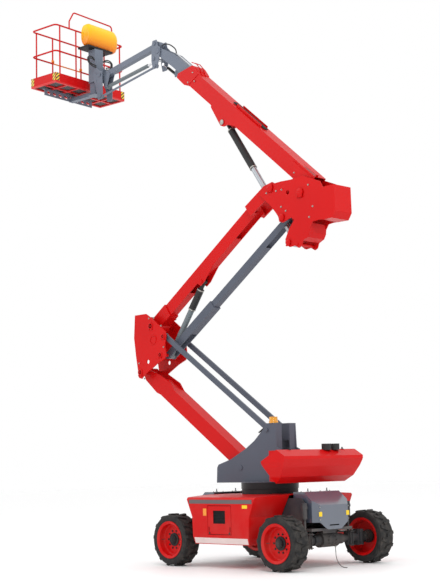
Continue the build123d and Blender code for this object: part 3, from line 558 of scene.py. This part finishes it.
def square(axis):
    # two directions at right angles to an axis and to each other
    axis = np.asarray(axis, float) / np.linalg.norm(axis)
    u = np.cross(zAxis if abs(axis[2]) < 0.9 else xAxis, axis)
    u /= np.linalg.norm(u)
    return axis, u, np.cross(axis, u)


def ringOf(centre, u, v, radius, count, start=0.0):
    # centre + radius (u cos t + v sin t)
    t = start + np.linspace(0, 2 * math.pi, count, endpoint=False)[:, None]
    return np.asarray(centre) + radius * (np.cos(t) * u + np.sin(t) * v)


def turned(centre, axis, profile, count=24):
    # a profile of (distance along the axis, radius), turned about the axis
    axis, u, v = square(axis)
    return stacked([ringOf(np.asarray(centre) + s * axis, u, v, max(r, 1e-4), count) for s, r in profile])


def slabOf(centre, u, v, width, height, thick, corner=0.01, edge=0.001):
    # a plate with rounded corners and eased edges, its outline swept along u x v
    u, v = np.asarray(u, float), np.asarray(v, float)
    normal = np.cross(u, v)
    turn = np.repeat(np.arange(4) * math.pi / 2, 4) + np.tile(np.linspace(0, math.pi / 2, 4), 4)

    def outline(inset, lift):
        # four corner arcs about their middles, each in four points
        r = max(corner - inset, 1e-4)
        x = np.repeat([1, -1, -1, 1], 4) * (width / 2 - inset - r) + r * np.cos(turn)
        y = np.repeat([1, 1, -1, -1], 4) * (height / 2 - inset - r) + r * np.sin(turn)
        return np.asarray(centre) + np.outer(x, u) + np.outer(y, v) + lift * normal
    half = thick / 2
    rows = [(edge, -half), (0, edge - half), (0, half - edge), (edge, half)]
    return stacked([outline(inset, lift) for inset, lift in rows])


# rows up the axis in shares of the bolt's size: height, radius and whether six-sided
boltRows = [(0, 1.25, False), (0.25, 1.25, False), (0.25, 0.98, True), (0.85, 0.98, True),
            (1.05, 0.80, False)]


def bolt(centre, axis, size=0.012):
    # washer, six-sided head and eased crown, seated at the centre and standing up the axis
    axis, u, v = square(axis)
    centre = np.asarray(centre, float)
    t = np.linspace(0, 2 * math.pi, 12, endpoint=False)[:, None]
    flats = np.where(np.arange(12) % 2 == 0, 1.0, math.cos(math.pi / 6))[:, None]
    disc = size * (np.cos(t) * u + np.sin(t) * v)
    return stacked([centre + s * size * axis + r * (flats if six else 1) * disc for s, r, six in boltRows])


def hose(points, radius, count=10, steps=8):
    # a smooth run through the points (Catmull-Rom), with a circle carried along it without twist
    p = np.asarray(points, float)
    p = np.vstack([2 * p[0] - p[1], p, 2 * p[-1] - p[-2]])
    t = np.linspace(0, 1, steps, endpoint=False)[:, None, None]
    a, b, c, d = p[:-3], p[1:-2], p[2:-1], p[3:]
    second, third = 2 * a - 5 * b + 4 * c - d, 3 * b - a - 3 * c + d
    run = 0.5 * (2 * b + (c - a) * t + second * t ** 2 + third * t ** 3)
    run = np.vstack([run.transpose(1, 0, 2).reshape(-1, 3), p[-2:-1]])
    ahead = np.gradient(run, axis=0)
    ahead /= np.linalg.norm(ahead, axis=1)[:, None]
    rings = []
    axis, u, v = square(ahead[0])
    for centre, axis in zip(run, ahead):
        u = u - axis * (u @ axis)
        u /= np.linalg.norm(u)
        rings.append(ringOf(centre, u, np.cross(axis, u), radius, count))
    return stacked(rings)


def spread(centre, axis, radius, count, start=0.0):
    # points round a circle square to the axis
    axis, u, v = square(axis)
    return ringOf(centre, u, v, radius, count, start)


def inLine(origin, degrees, along, rise, y=0.0):
    # a point given along a boom and square to it, in the plane of its side
    a = math.radians(degrees)
    return np.array([origin[0] + along * math.cos(a) - rise * math.sin(a), y,
                     origin[1] + along * math.sin(a) + rise * math.cos(a)])


print("shape tools ready")

strap = {"route": [(-1.210, -0.162, 0.290), (-1.213, -0.161, 0.213), (-1.224, -0.157, 0.137),
                   (-1.262, -0.148, 0.066), (-1.334, -0.124, 0.016), (-1.424, -0.076, 0.006),
                   (-1.492, -0.012, 0.006), (-1.576, 0.004, 0.006)],
         "diameter": 0.010, "length": 0.60}


def addStrap():
    # the earthing strap: its points pull a curve of order 3 from the clip to the ground
    curve = bpy.data.curves.new("groundStrap", "CURVE")
    curve.dimensions, curve.bevel_depth, curve.bevel_resolution = "3D", strap["diameter"] / 2, 3
    curve.use_fill_caps = True
    spline = curve.splines.new("NURBS")
    spline.points.add(len(strap["route"]) - 1)
    for point, place in zip(spline.points, strap["route"]):
        point.co = (*place, 1)
    spline.order_u, spline.use_endpoint_u, spline.resolution_u = 3, True, 8
    curve.materials.append(hoseBlack.material)
    piece = bpy.data.objects.new("groundStrap", curve)
    bpy.context.collection.objects.link(piece)
    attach(piece, "chassis")
    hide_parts("ground_strap")


addStrap()
print("earthing strap hung")

wheelFit = {"places": {"left_steer": (-1.1825, 1), "right_steer": (-1.1825, -1), "left_drive": (1.1825, 1),
                       "right_drive": (1.1825, -1)},
            "middle": 0.99, "axle": 0.416, "disc": 0.042,
            "nuts": 10, "nutCircle": 0.140, "nutSize": 0.013,
            "cap": [(0, 0.052), (0.004, 0.052), (0.010, 0.046), (0.012, 0.030), (0.018, 0.027),
                    (0.021, 0.018), (0.021, 0)],
            "capBolts": 6, "capCircle": 0.044, "capRise": 0.004, "capBolt": 0.006,
            "valve": [(0.212, 0.060), (0.214, 0.100), (0.220, 0.125)], "valveRadius": 0.005}


def dressWheel(name, x, side):
    # wheel nuts on the disc, a stepped cap over the hub and a valve by the rim
    fit, out = wheelFit, side * yAxis
    centre = np.array([x, side * fit["middle"], fit["axle"]])
    circle = spread(centre + out * fit["disc"], out, fit["nutCircle"], fit["nuts"])
    nuts = [bolt(p, out, fit["nutSize"]) for p in circle]
    build("nuts_" + name, nuts, black, "wheel_" + name)
    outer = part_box("hub_" + name)[1 if side > 0 else 0]
    top = abs(outer[1]) - fit["middle"]
    cap = turned(centre + out * top, out, fit["cap"])
    valve = hose([centre + out * s + xAxis * r for r, s in fit["valve"]], fit["valveRadius"], 8, 4)
    circle = spread(centre + out * (top + fit["capRise"]), out, fit["capCircle"], fit["capBolts"])
    bolts = [bolt(p, out, fit["capBolt"]) for p in circle]
    build("cap_" + name, [cap, valve] + bolts, black, "wheel_" + name)


for name, (x, side) in wheelFit["places"].items():
    dressWheel(name, x, side)
print("wheels dressed")

# places are x and z on the side, sizes width and height; a plate has a thickness, corner and edge
chassisFit = {"side": 1.140, "lift": 0.001, "plate": (0.003, 0.004, 0.0006),
              "band": ((0.0, 1.026), (1.40, 0.062)),
              "sillMiddle": (1.1245, 0.427), "sillSlope": (0.279, 0.960),
              "sillSize": (1.18, 0.092, 0.004, 0.004),
              "orange": ((0.340, 0.865), (0.075, 0.110)), "yellow": ((-0.545, 0.950), (0.110, 0.050)),
              "latches": (-0.205, 0.235), "latchHeight": 0.545,
              "latchTurn": [(-0.001, 0.016), (0.003, 0.016), (0.004, 0.013), (0.004, 0)]}


def sidePlate(place, size, side=1):
    # a thin plate that lies on the chassis side
    fit = chassisFit
    centre = (place[0], side * (fit["side"] + fit["lift"]), place[1])
    return slabOf(centre, -side * xAxis, zAxis, *size, *fit["plate"])


def dressChassis():
    # grey band under the lid's edge, pale strip on the sill's slope, two blank plates, latches of the door
    fit = chassisFit
    bands = [sidePlate(*fit["band"], side) for side in (1, -1)]
    build("sideBands", bands, bandGrey, "chassis", 20)
    sills = []
    for side in (1, -1):
        middle = (0, side * fit["sillMiddle"][0], fit["sillMiddle"][1])
        climb = np.array([0, side * fit["sillSlope"][0], fit["sillSlope"][1]])
        sills.append(slabOf(middle, side * xAxis, climb, *fit["sillSize"]))
    build("sillStrips", sills, sillWhite, "chassis", 20)
    build("sidePlate_orange", [sidePlate(*fit["orange"])], orangePlate, "chassis")
    build("sidePlate_yellow", [sidePlate(*fit["yellow"])], yellowPlate, "chassis")
    latches = [turned((x, fit["side"], fit["latchHeight"]), yAxis, fit["latchTurn"]) for x in fit["latches"]]
    build("bodyLatches", latches, black, "chassis")


# each place is x, y and z or their rows, mirrored to the other end and side;
# the plate's size is its width, height, thickness and corner
hoodFit = {"plate": (1.3515, 0.315, 0.815), "plateSize": (0.070, 0.070, 0.003, 0.004),
           "faceScrews": (1.352, 0.33, (0.73, 0.92)), "faceScrew": 0.008,
           "topScrews": (0.98, (-0.33, -0.11, 0.11, 0.33), 1.152), "topScrew": 0.009,
           "knob": (1.02, 0.22, 1.155),
           "knobTurn": [(0, 0.020), (0.006, 0.020), (0.006, 0.008), (0.045, 0.008), (0.045, 0)]}


def dressHoods():
    # two blank plates, screws on the face and top, and two knobs on each end hood
    fit = hoodFit
    plates, screws, knobs = [], [], []
    for end in (-1, 1):
        x, y, z = fit["plate"]
        for side in (-1, 1):
            plates.append(slabOf((end * x, side * y, z), end * yAxis, zAxis, *fit["plateSize"]))
        x, y, rows = fit["faceScrews"]
        screws += [bolt((end * x, side * y, z), end * xAxis, fit["faceScrew"])
                   for side in (-1, 1) for z in rows]
        x, rows, z = fit["topScrews"]
        screws += [bolt((end * x, y, z), zAxis, fit["topScrew"]) for y in rows]
        x, y, z = fit["knob"]
        knobs += [turned((end * x, side * y, z), zAxis, fit["knobTurn"]) for side in (-1, 1)]
    build("hoodPlates", plates, yellowPlate, "chassis")
    build("hoodScrews", screws, zinc, "chassis")
    build("hoodKnobs", knobs, rubberBlack, "chassis")


axleFit = {"cover": 1.302, "coverBolts": 10, "coverCircle": 0.088, "coverBolt": 0.011,
           "hose": [(1.10, 0.20, 0.60), (1.12, 0.32, 0.54), (1.13, 0.46, 0.51), (1.15, 0.60, 0.50),
                    (1.16, 0.70, 0.48)],
           "hoseRadius": 0.009, "kingpin": (-1.1825, 0.80),
           "capTurn": [(0, 0.034), (0.006, 0.034), (0.010, 0.024), (0.010, 0)],
           "capBolts": 4, "capCircle": 0.044, "capBolt": 0.007, "capStart": 0.6}


def dressAxles():
    # bolts round each axle's middle, brake hoses to the wheels, and caps on the kingpins
    fit = axleFit
    bolts = []
    for end in (-1, 1):
        face = (end * fit["cover"], 0, wheelFit["axle"])
        circle = spread(face, end * xAxis, fit["coverCircle"], fit["coverBolts"])
        bolts += [bolt(p, end * xAxis, fit["coverBolt"]) for p in circle]
    build("axleBolts", bolts, cast, "chassis")
    runs = [hose(np.array(fit["hose"]) * (end, side, 1), fit["hoseRadius"])
            for end in (-1, 1) for side in (-1, 1)]
    build("axleHoses", runs, hoseBlack, "chassis")
    x, y = fit["kingpin"]
    for side, name in ((1, "left"), (-1, "right")):
        top = np.array([x, side * y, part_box("steer_knuckle_" + name)[1][2]])
        circle = spread(top, zAxis, fit["capCircle"], fit["capBolts"], fit["capStart"])
        caps = [turned(top, zAxis, fit["capTurn"])] + [bolt(p, zAxis, fit["capBolt"]) for p in circle]
        build("kingpinCaps_" + name, caps, zinc, "knuckle_" + name)


dressChassis()
dressHoods()
dressAxles()
print("chassis dressed")

# shares of the pin's radius, and heights in metres
pinFit = {"head": [(0, 1), (0.008, 1), (0.012, 0.86), (0.012, 0.30), (0.009, 0.25), (0.009, 0)],
          "drop": 0.95, "keeper": (1.7, 0.55), "keeperThick": 0.008, "keeperCorner": 0.2, "boltsApart": 0.55,
          "boltSize": 0.011}


def pinCap(point, y, radius, side, plate=True):
    # a turned pin head with its keeper plate and two bolts
    fit, out = pinFit, side * yAxis
    centre = np.array([point[0], side * y, point[1]])
    shapes = [turned(centre, out, [(s, radius * r) for s, r in fit["head"]])]
    if plate:
        low = centre - zAxis * radius * fit["drop"]
        wide, high = (radius * k for k in fit["keeper"])
        thick = fit["keeperThick"]
        shapes.append(slabOf(low + out * thick / 2, -side * xAxis, zAxis, wide, high, thick,
                             radius * fit["keeperCorner"]))
        shapes += [bolt(low + out * thick + xAxis * radius * fit["boltsApart"] * end, out, fit["boltSize"])
                   for end in (-1, 1)]
    return shapes


# pins are x, z and radius; the hoses' points are x, a share of each hose's y, and z
turntableFit = {"cheek": 0.240, "pins": [(0.420, 1.540, 0.040), (-0.2005, 2.1303, 0.032)],
                "ringTop": 1.300, "ringBolts": 24, "ringCircle": 0.415, "ringBolt": 0.012,
                "lugs": (-1.02, 0.62), "lugSink": 0.004,
                "lugTurn": [(0, 0.030), (0.008, 0.030), (0.010, 0.012), (0.036, 0.012), (0.036, 0)],
                "hoseY": (-0.06, -0.02, 0.02, 0.06), "hoseRadius": 0.012, "hoseStep": 0.01,
                "hoseRoute": [(0.10, 1.0, 1.34), (0.06, 1.0, 1.60), (-0.02, 1.2, 1.86), (-0.04, 1.3, 2.06),
                              (0.02, 1.2, 2.16), (0.13, 1.0, 2.10)]}


def dressTurntable():
    # pin heads on the cheeks, the ring's bolts, lugs on the counterweight, hoses up between the cheeks
    fit = turntableFit
    caps = []
    for x, z, radius in fit["pins"]:
        for side in (1, -1):
            caps += pinCap((x, z), fit["cheek"], radius, side, False)
    build("turntablePins", caps, grey, "turntable")
    circle = spread((0, 0, fit["ringTop"]), zAxis, fit["ringCircle"], fit["ringBolts"])
    bolts = [bolt(p, zAxis, fit["ringBolt"]) for p in circle]
    build("turntableBolts", bolts, zinc, "turntable")
    x, y = fit["lugs"]
    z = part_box("counterweight")[1][2] - fit["lugSink"]
    lugs = [turned((x, side * y, z), zAxis, fit["lugTurn"]) for side in (-1, 1)]
    build("weightLugs", lugs, rubberBlack, "turntable")
    runs = []
    for k, y in enumerate(fit["hoseY"]):
        route = np.array(fit["hoseRoute"]) * (1, y, 1)
        route[-1, 0] += k * fit["hoseStep"]
        runs.append(hose(route, fit["hoseRadius"]))
    build("turntableHoses", runs, hoseBlack, "turntable")


dressTurntable()
print("turntable dressed")

# the riser's and boom's pins, as x and z
pins = {"D": (2.8775, 3.2607), "B": (2.257, 3.851), "A": (2.580, 4.060), "C": (2.335, 3.530),
        "E": (-0.3879, 6.0619), "G": (-0.6329, 5.5319), "K": (1.440, 4.740), "H": (-1.040, 5.870),
        "I": (-0.760, 5.100), "T": (2.420, 9.110)}
bootFit = {"radius": 0.060, "pitch": 0.026, "fold": 0.004, "neck": 0.93,
           "clamp": [(0, 0.060), (0, 0.0655), (0.022, 0.0655), (0.022, 0.060)]}


def pinPoint(name):
    return np.array([pins[name][0], 0, pins[name][1]])


def dressRod(name, eye, foot, span, clamps, body):
    # a concertina boot from the rod's eye towards the barrel's foot: its radius swings by cos over each fold
    fit = bootFit
    axis = (foot - eye) / np.linalg.norm(foot - eye)
    begin, stop = span
    folds = int((stop - begin) / fit["pitch"])
    s = np.linspace(begin, stop, folds * 4 + 1)
    r = fit["radius"] + fit["fold"] * np.cos((s - begin) / fit["pitch"] * 2 * math.pi)
    neck = fit["radius"] * fit["neck"]
    profile = [(s[0] - fit["fold"], neck)] + list(zip(s, r)) + [(s[-1] + fit["fold"], neck)]
    build(name + "Boot", [turned(eye, axis, profile, 28)], rubberBlack, body, 60)
    bands = [turned(eye + axis * d, axis, fit["clamp"]) for d in clamps]
    build(name + "Clamps", bands, zinc, body)


# pins give each head's radius; screws are x and z
riserFit = {"lowerCheek": 0.260, "lowerPins": {"D": 0.062, "B": 0.050, "A": 0.062, "C": 0.050},
            "lowerScrews": [(2.49, 4.20), (2.62, 4.20), (2.30, 4.04), (2.24, 3.66), (2.90, 3.42),
                            (2.76, 3.14)],
            "upperBoss": 0.214, "upperPins": {"E": 0.064, "G": 0.052, "H": 0.070, "I": 0.052},
            "upperCheek": 0.200,
            "upperScrews": [(-0.52, 5.98), (-0.64, 5.98), (-0.30, 5.98), (-1.22, 5.96), (-1.30, 5.60),
                            (-1.22, 5.44), (-0.72, 5.62), (-0.62, 5.70)],
            "screw": 0.013, "boot": (0.150, 0.560), "clamps": (0.150, 0.540)}


def dressKnuckle(name, body, boss, heads, cheek, screws):
    # painted pin heads with keepers, and bare screws, on both cheeks of a knuckle
    caps = []
    for pin, radius in heads.items():
        for side in (1, -1):
            caps += pinCap(pins[pin], boss, radius, side)
    build(name + "Pins", caps, red, body)
    rows = [bolt((x, side * cheek, z), side * yAxis, riserFit["screw"])
            for x, z in screws for side in (1, -1)]
    build(name + "Screws", rows, zinc, body)


def dressRiser():
    fit = riserFit
    dressKnuckle("lowerKnuckle", "lower_knuckle", fit["lowerCheek"], fit["lowerPins"], fit["lowerCheek"],
                 fit["lowerScrews"])
    dressKnuckle("upperKnuckle", "upper_knuckle", fit["upperBoss"], fit["upperPins"], fit["upperCheek"],
                 fit["upperScrews"])
    dressRod("riser", pinPoint("K"), pinPoint("C"), fit["boot"], fit["clamps"], "riser_rod")


dressRiser()
print("riser dressed")

# places are along the boom from its pivot and square to it; pipeRoute is along the barrel from its foot
# and off its axis
boomFit = {"angle": 41.2, "eye": (2.378, -0.030), "boot": (0.160, 1.080), "clamps": (0.160, 1.060),
           "eyeFace": 0.138, "eyeTurn": [(0, 0.046), (0.008, 0.046), (0.012, 0.038), (0.012, 0)],
           "bolts": [(3.60, 0.10, 0.140), (3.60, 0.30, 0.140), (3.46, 0.20, 0.140), (0.20, 0.16, 0.144),
                     (0.36, 0.16, 0.144)],
           "bolt": 0.012,
           "trayAlong": (1.50, 1.62, 1.90, 2.10, 2.32, 2.44), "trayRise": 0.352, "trayY": (-0.032, 0, 0.032),
           "hoseRadius": 0.011,
           "pipes": [(4.30, 0.337), (4.24, 0.342), (4.00, 0.344), (3.86, 0.344), (3.80, 0.334)],
           "pipesY": (0.045, 0.075), "pipesRadius": 0.007,
           "tipHose": [(4.76, 0.262), (4.72, 0.315), (4.62, 0.368), (4.50, 0.390), (4.38, 0.386),
                       (4.30, 0.337)],
           "tipY": 0.06,
           "pipeRoute": [(0.16, 0.045), (0.24, 0.066), (0.60, 0.066), (1.02, 0.066), (1.10, 0.046)],
           "pipeRadius": 0.008}


def onBoom(along, rise, y=0.0):
    return inLine(pins["H"], boomFit["angle"], along, rise, y)


def dressBoom():
    # its cylinder's boot and pipe, bolts on both sides, hoses in the tray, and lines over the inner boom
    fit = boomFit
    eye, foot = onBoom(*fit["eye"]), pinPoint("I")
    dressRod("boom", eye, foot, fit["boot"], fit["clamps"], "boom_rod")
    caps = []
    for side in (1, -1):
        caps.append(turned(eye + side * fit["eyeFace"] * yAxis, side * yAxis, fit["eyeTurn"]))
        caps += [bolt(onBoom(a, r, side * y), side * yAxis, fit["bolt"]) for a, r, y in fit["bolts"]]
    build("boomBolts", caps, zinc, "main_boom")
    runs = [hose([onBoom(a, fit["trayRise"], y) for a in fit["trayAlong"]], fit["hoseRadius"])
            for y in fit["trayY"]]
    build("boomHoses", runs, hoseBlack, "main_boom")
    pipes = [hose([onBoom(a, r, y) for a, r in fit["pipes"]], fit["pipesRadius"]) for y in fit["pipesY"]]
    build("tipPipes", pipes, chrome, "inner_boom")
    loop = hose([onBoom(a, r, fit["tipY"]) for a, r in fit["tipHose"]], fit["hoseRadius"])
    build("tipHose", [loop], hoseBlack, "inner_boom")
    axis = (eye - foot) / np.linalg.norm(eye - foot)
    behind = np.array([-axis[2], 0, axis[0]])
    pipe = hose([foot + axis * a + behind * r for a, r in fit["pipeRoute"]], fit["pipeRadius"])
    build("boomCylinderPipe", [pipe], zinc, "boom_barrel")


# pins are x, z, face and radius; a loop's rows are x, y, z and how far y and z move in for the inner hose
tipFit = {"headPins": [(*pins["T"], 0.126, 0.050), (2.500, 9.265, 0.134, 0.032), (2.490, 8.845, 0.134, 0.032),
                       (2.520, 8.985, 0.134, 0.032)],
          "mastPins": [(4.107, 9.062, 0.136, 0.034), (4.097, 8.642, 0.136, 0.034)],
          "mastScrews": [(4.20, 0.126, 9.10), (4.20, 0.126, 8.98)], "screw": 0.010,
          "loop": [(4.29, 0.10, 9.41, 0, 0), (4.27, 0.17, 9.452, 0, -1), (4.26, 0.25, 9.450, -1, -1),
                   (4.25, 0.30, 9.40, -1, 0), (4.24, 0.285, 9.32, -1, 0), (4.23, 0.20, 9.26, -1, 1),
                   (4.21, 0.12, 9.24, 0, 1)],
          "loopInsets": (0, 0.03), "loopRadius": 0.012}


def dressTip():
    # pin heads on the jib's head and the mast, and hose loops on both sides of the mast
    fit = tipFit
    caps, mast, loops = [], [], []
    for side in (1, -1):
        for x, z, face, radius in fit["headPins"]:
            caps += pinCap((x, z), face, radius, side, False)
        for x, z, face, radius in fit["mastPins"]:
            mast += pinCap((x, z), face, radius, side, False)
    mast += [bolt((x, side * y, z), side * yAxis, fit["screw"])
             for side in (1, -1) for x, y, z in fit["mastScrews"]]
    build("jibHeadPins", caps, boomGrey, "jib_head")
    build("mastPins", mast, boomGrey, "platform_mast")
    # the loops stay under the platform's middle rail, which passes over them as it turns
    x, y, z, moveY, moveZ = np.array(fit["loop"]).T
    for side in (-1, 1):
        for d in fit["loopInsets"]:
            route = np.stack([x, side * (y + d * moveY), z + d * moveZ], 1)
            loops.append(hose(route, fit["loopRadius"]))
    build("mastHoses", loops, hoseBlack, "platform_mast")


dressBoom()
dressTip()
print("boom and jib dressed")


def onPlatform(u, v, z):
    # across and along the platform, which is turned a little about its mast
    c, s = math.cos(platformFit["turn"]), math.sin(platformFit["turn"])
    mx, my = platformFit["middle"]
    return np.array([mx + c * u - s * v, my + s * u + c * v, z])


# waist and crown are shares of the half height and half width at which a side ends; ends are depth and share
drum = {"middle": (-0.481, 9.928), "half": (0.127, 0.232), "span": (-0.505, 0.290),
        "waist": 0.42, "crown": 0.52, "ease": 0.42,
        "ends": [(0, 0.80), (0.006, 0.845), (0.045, 0.955), (0.060, 0.985), (0.085, 1.0)]}


def drumSection(v, share):
    # eight corners, each eased by (1-t)^2 first + 2t(1-t) corner + t^2 last
    a, b = (h * share for h in drum["half"])
    waist, crown, ease = b * drum["waist"], a * drum["crown"], drum["ease"]
    corners = np.array([(a, waist), (crown, b), (-crown, b), (-a, waist),
                        (-a, -waist), (-crown, -b), (crown, -b), (a, -waist)])
    ahead, behind = np.roll(corners, -1, 0), np.roll(corners, 1, 0)
    t = np.linspace(0, 1, 7)[None, :, None]
    first, last = corners + (behind - corners) * ease, corners + (ahead - corners) * ease
    curve = (1 - t) ** 2 * first[:, None] + 2 * t * (1 - t) * corners[:, None] + t ** 2 * last[:, None]
    u0, z0 = drum["middle"]
    return np.array([onPlatform(u0 + u, v, z0 + z) for u, z in curve.reshape(-1, 2)])


def addDrum():
    # the cover over the upper controls: a barrel that draws in towards both ends
    low, high = drum["span"]
    rows = [(low + d, k) for d, k in drum["ends"]] + [(high - d, k) for d, k in drum["ends"][::-1]]
    piece = build("consoleDrum", [stacked([drumSection(v, k) for v, k in rows])], moulded, "platform",
                  28)
    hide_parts("console_cover")


def dressPlatform():
    # striped plates on both ends of the long side and of the short side
    fit = platformFit
    uAxis = onPlatform(1, 0, 0) - onPlatform(0, 0, 0)
    vAxis = onPlatform(0, 1, 0) - onPlatform(0, 0, 0)
    a, b = fit["half"]
    z, height, thick = fit["stripeZ"], fit["stripeHeight"], fit["stripeThick"]
    v, width = fit["longStripe"]
    signs = [slabOf(onPlatform(-a - fit["lift"], end * v, z), -vAxis, zAxis, width, height, thick, thick)
             for end in (1, -1)]
    u, width = fit["shortStripe"]
    signs += [slabOf(onPlatform(end * u, b + fit["lift"], z), -uAxis, zAxis, width, height, thick, thick)
              for end in (-1, 1)]
    build("cornerStripes", signs, stripes, "platform", 20)


dressPlatform()
addDrum()
print("platform dressed")

# the floor's half width and two tones; each lamp's place, size and power
room = {"half": 60, "pale": (1.0, 1.0, 1.0), "dull": (0.985, 0.985, 0.985), "sky": 1.0, "aim": (1, 0, 4),
        "lamps": {"key": ((-10, 9, 15), 7, 700), "fill": ((-14, -7, 7), 9, 200),
                  "rim": ((10, 10, 13), 7, 200)}}


def addRoom():
    h = room["half"]
    mesh = bpy.data.meshes.new("floor")
    mesh.from_pydata([(-h, -h, 0), (h, -h, 0), (h, h, 0), (-h, h, 0)], [], [(0, 1, 2, 3)])
    floor = bpy.data.objects.new("floor", mesh)
    paint = Paint("paleFloor", Roughness=0.55, Specular_IOR_Level=0.25)
    paint.set(Base_Color=paint.blend(paint.noise(0.5, 3), shade(*room["pale"]), shade(*room["dull"])))
    mesh.materials.append(paint.material)
    bpy.context.collection.objects.link(floor)
    world = bpy.data.worlds.new("studio")
    world.use_nodes = True
    sky = world.node_tree.nodes["Background"]
    sky.inputs["Color"].default_value = shade(1, 1, 1)
    sky.inputs["Strength"].default_value = room["sky"]
    bpy.context.scene.world = world


def addLight(name, place, size, power):
    data = bpy.data.lights.new(name, "AREA")
    data.shape, data.size, data.energy = "SQUARE", size, power
    lamp = bpy.data.objects.new(name, data)
    aim = (Vector(room["aim"]) - Vector(place)).to_track_quat("-Z", "Y")
    lamp.matrix_world = Matrix.Translation(place) @ aim.to_matrix().to_4x4()
    bpy.context.collection.objects.link(lamp)


addRoom()
for name, settings in room["lamps"].items():
    addLight(name, *settings)
bpy.context.scene.view_settings.view_transform = "Standard"
print("room lit")
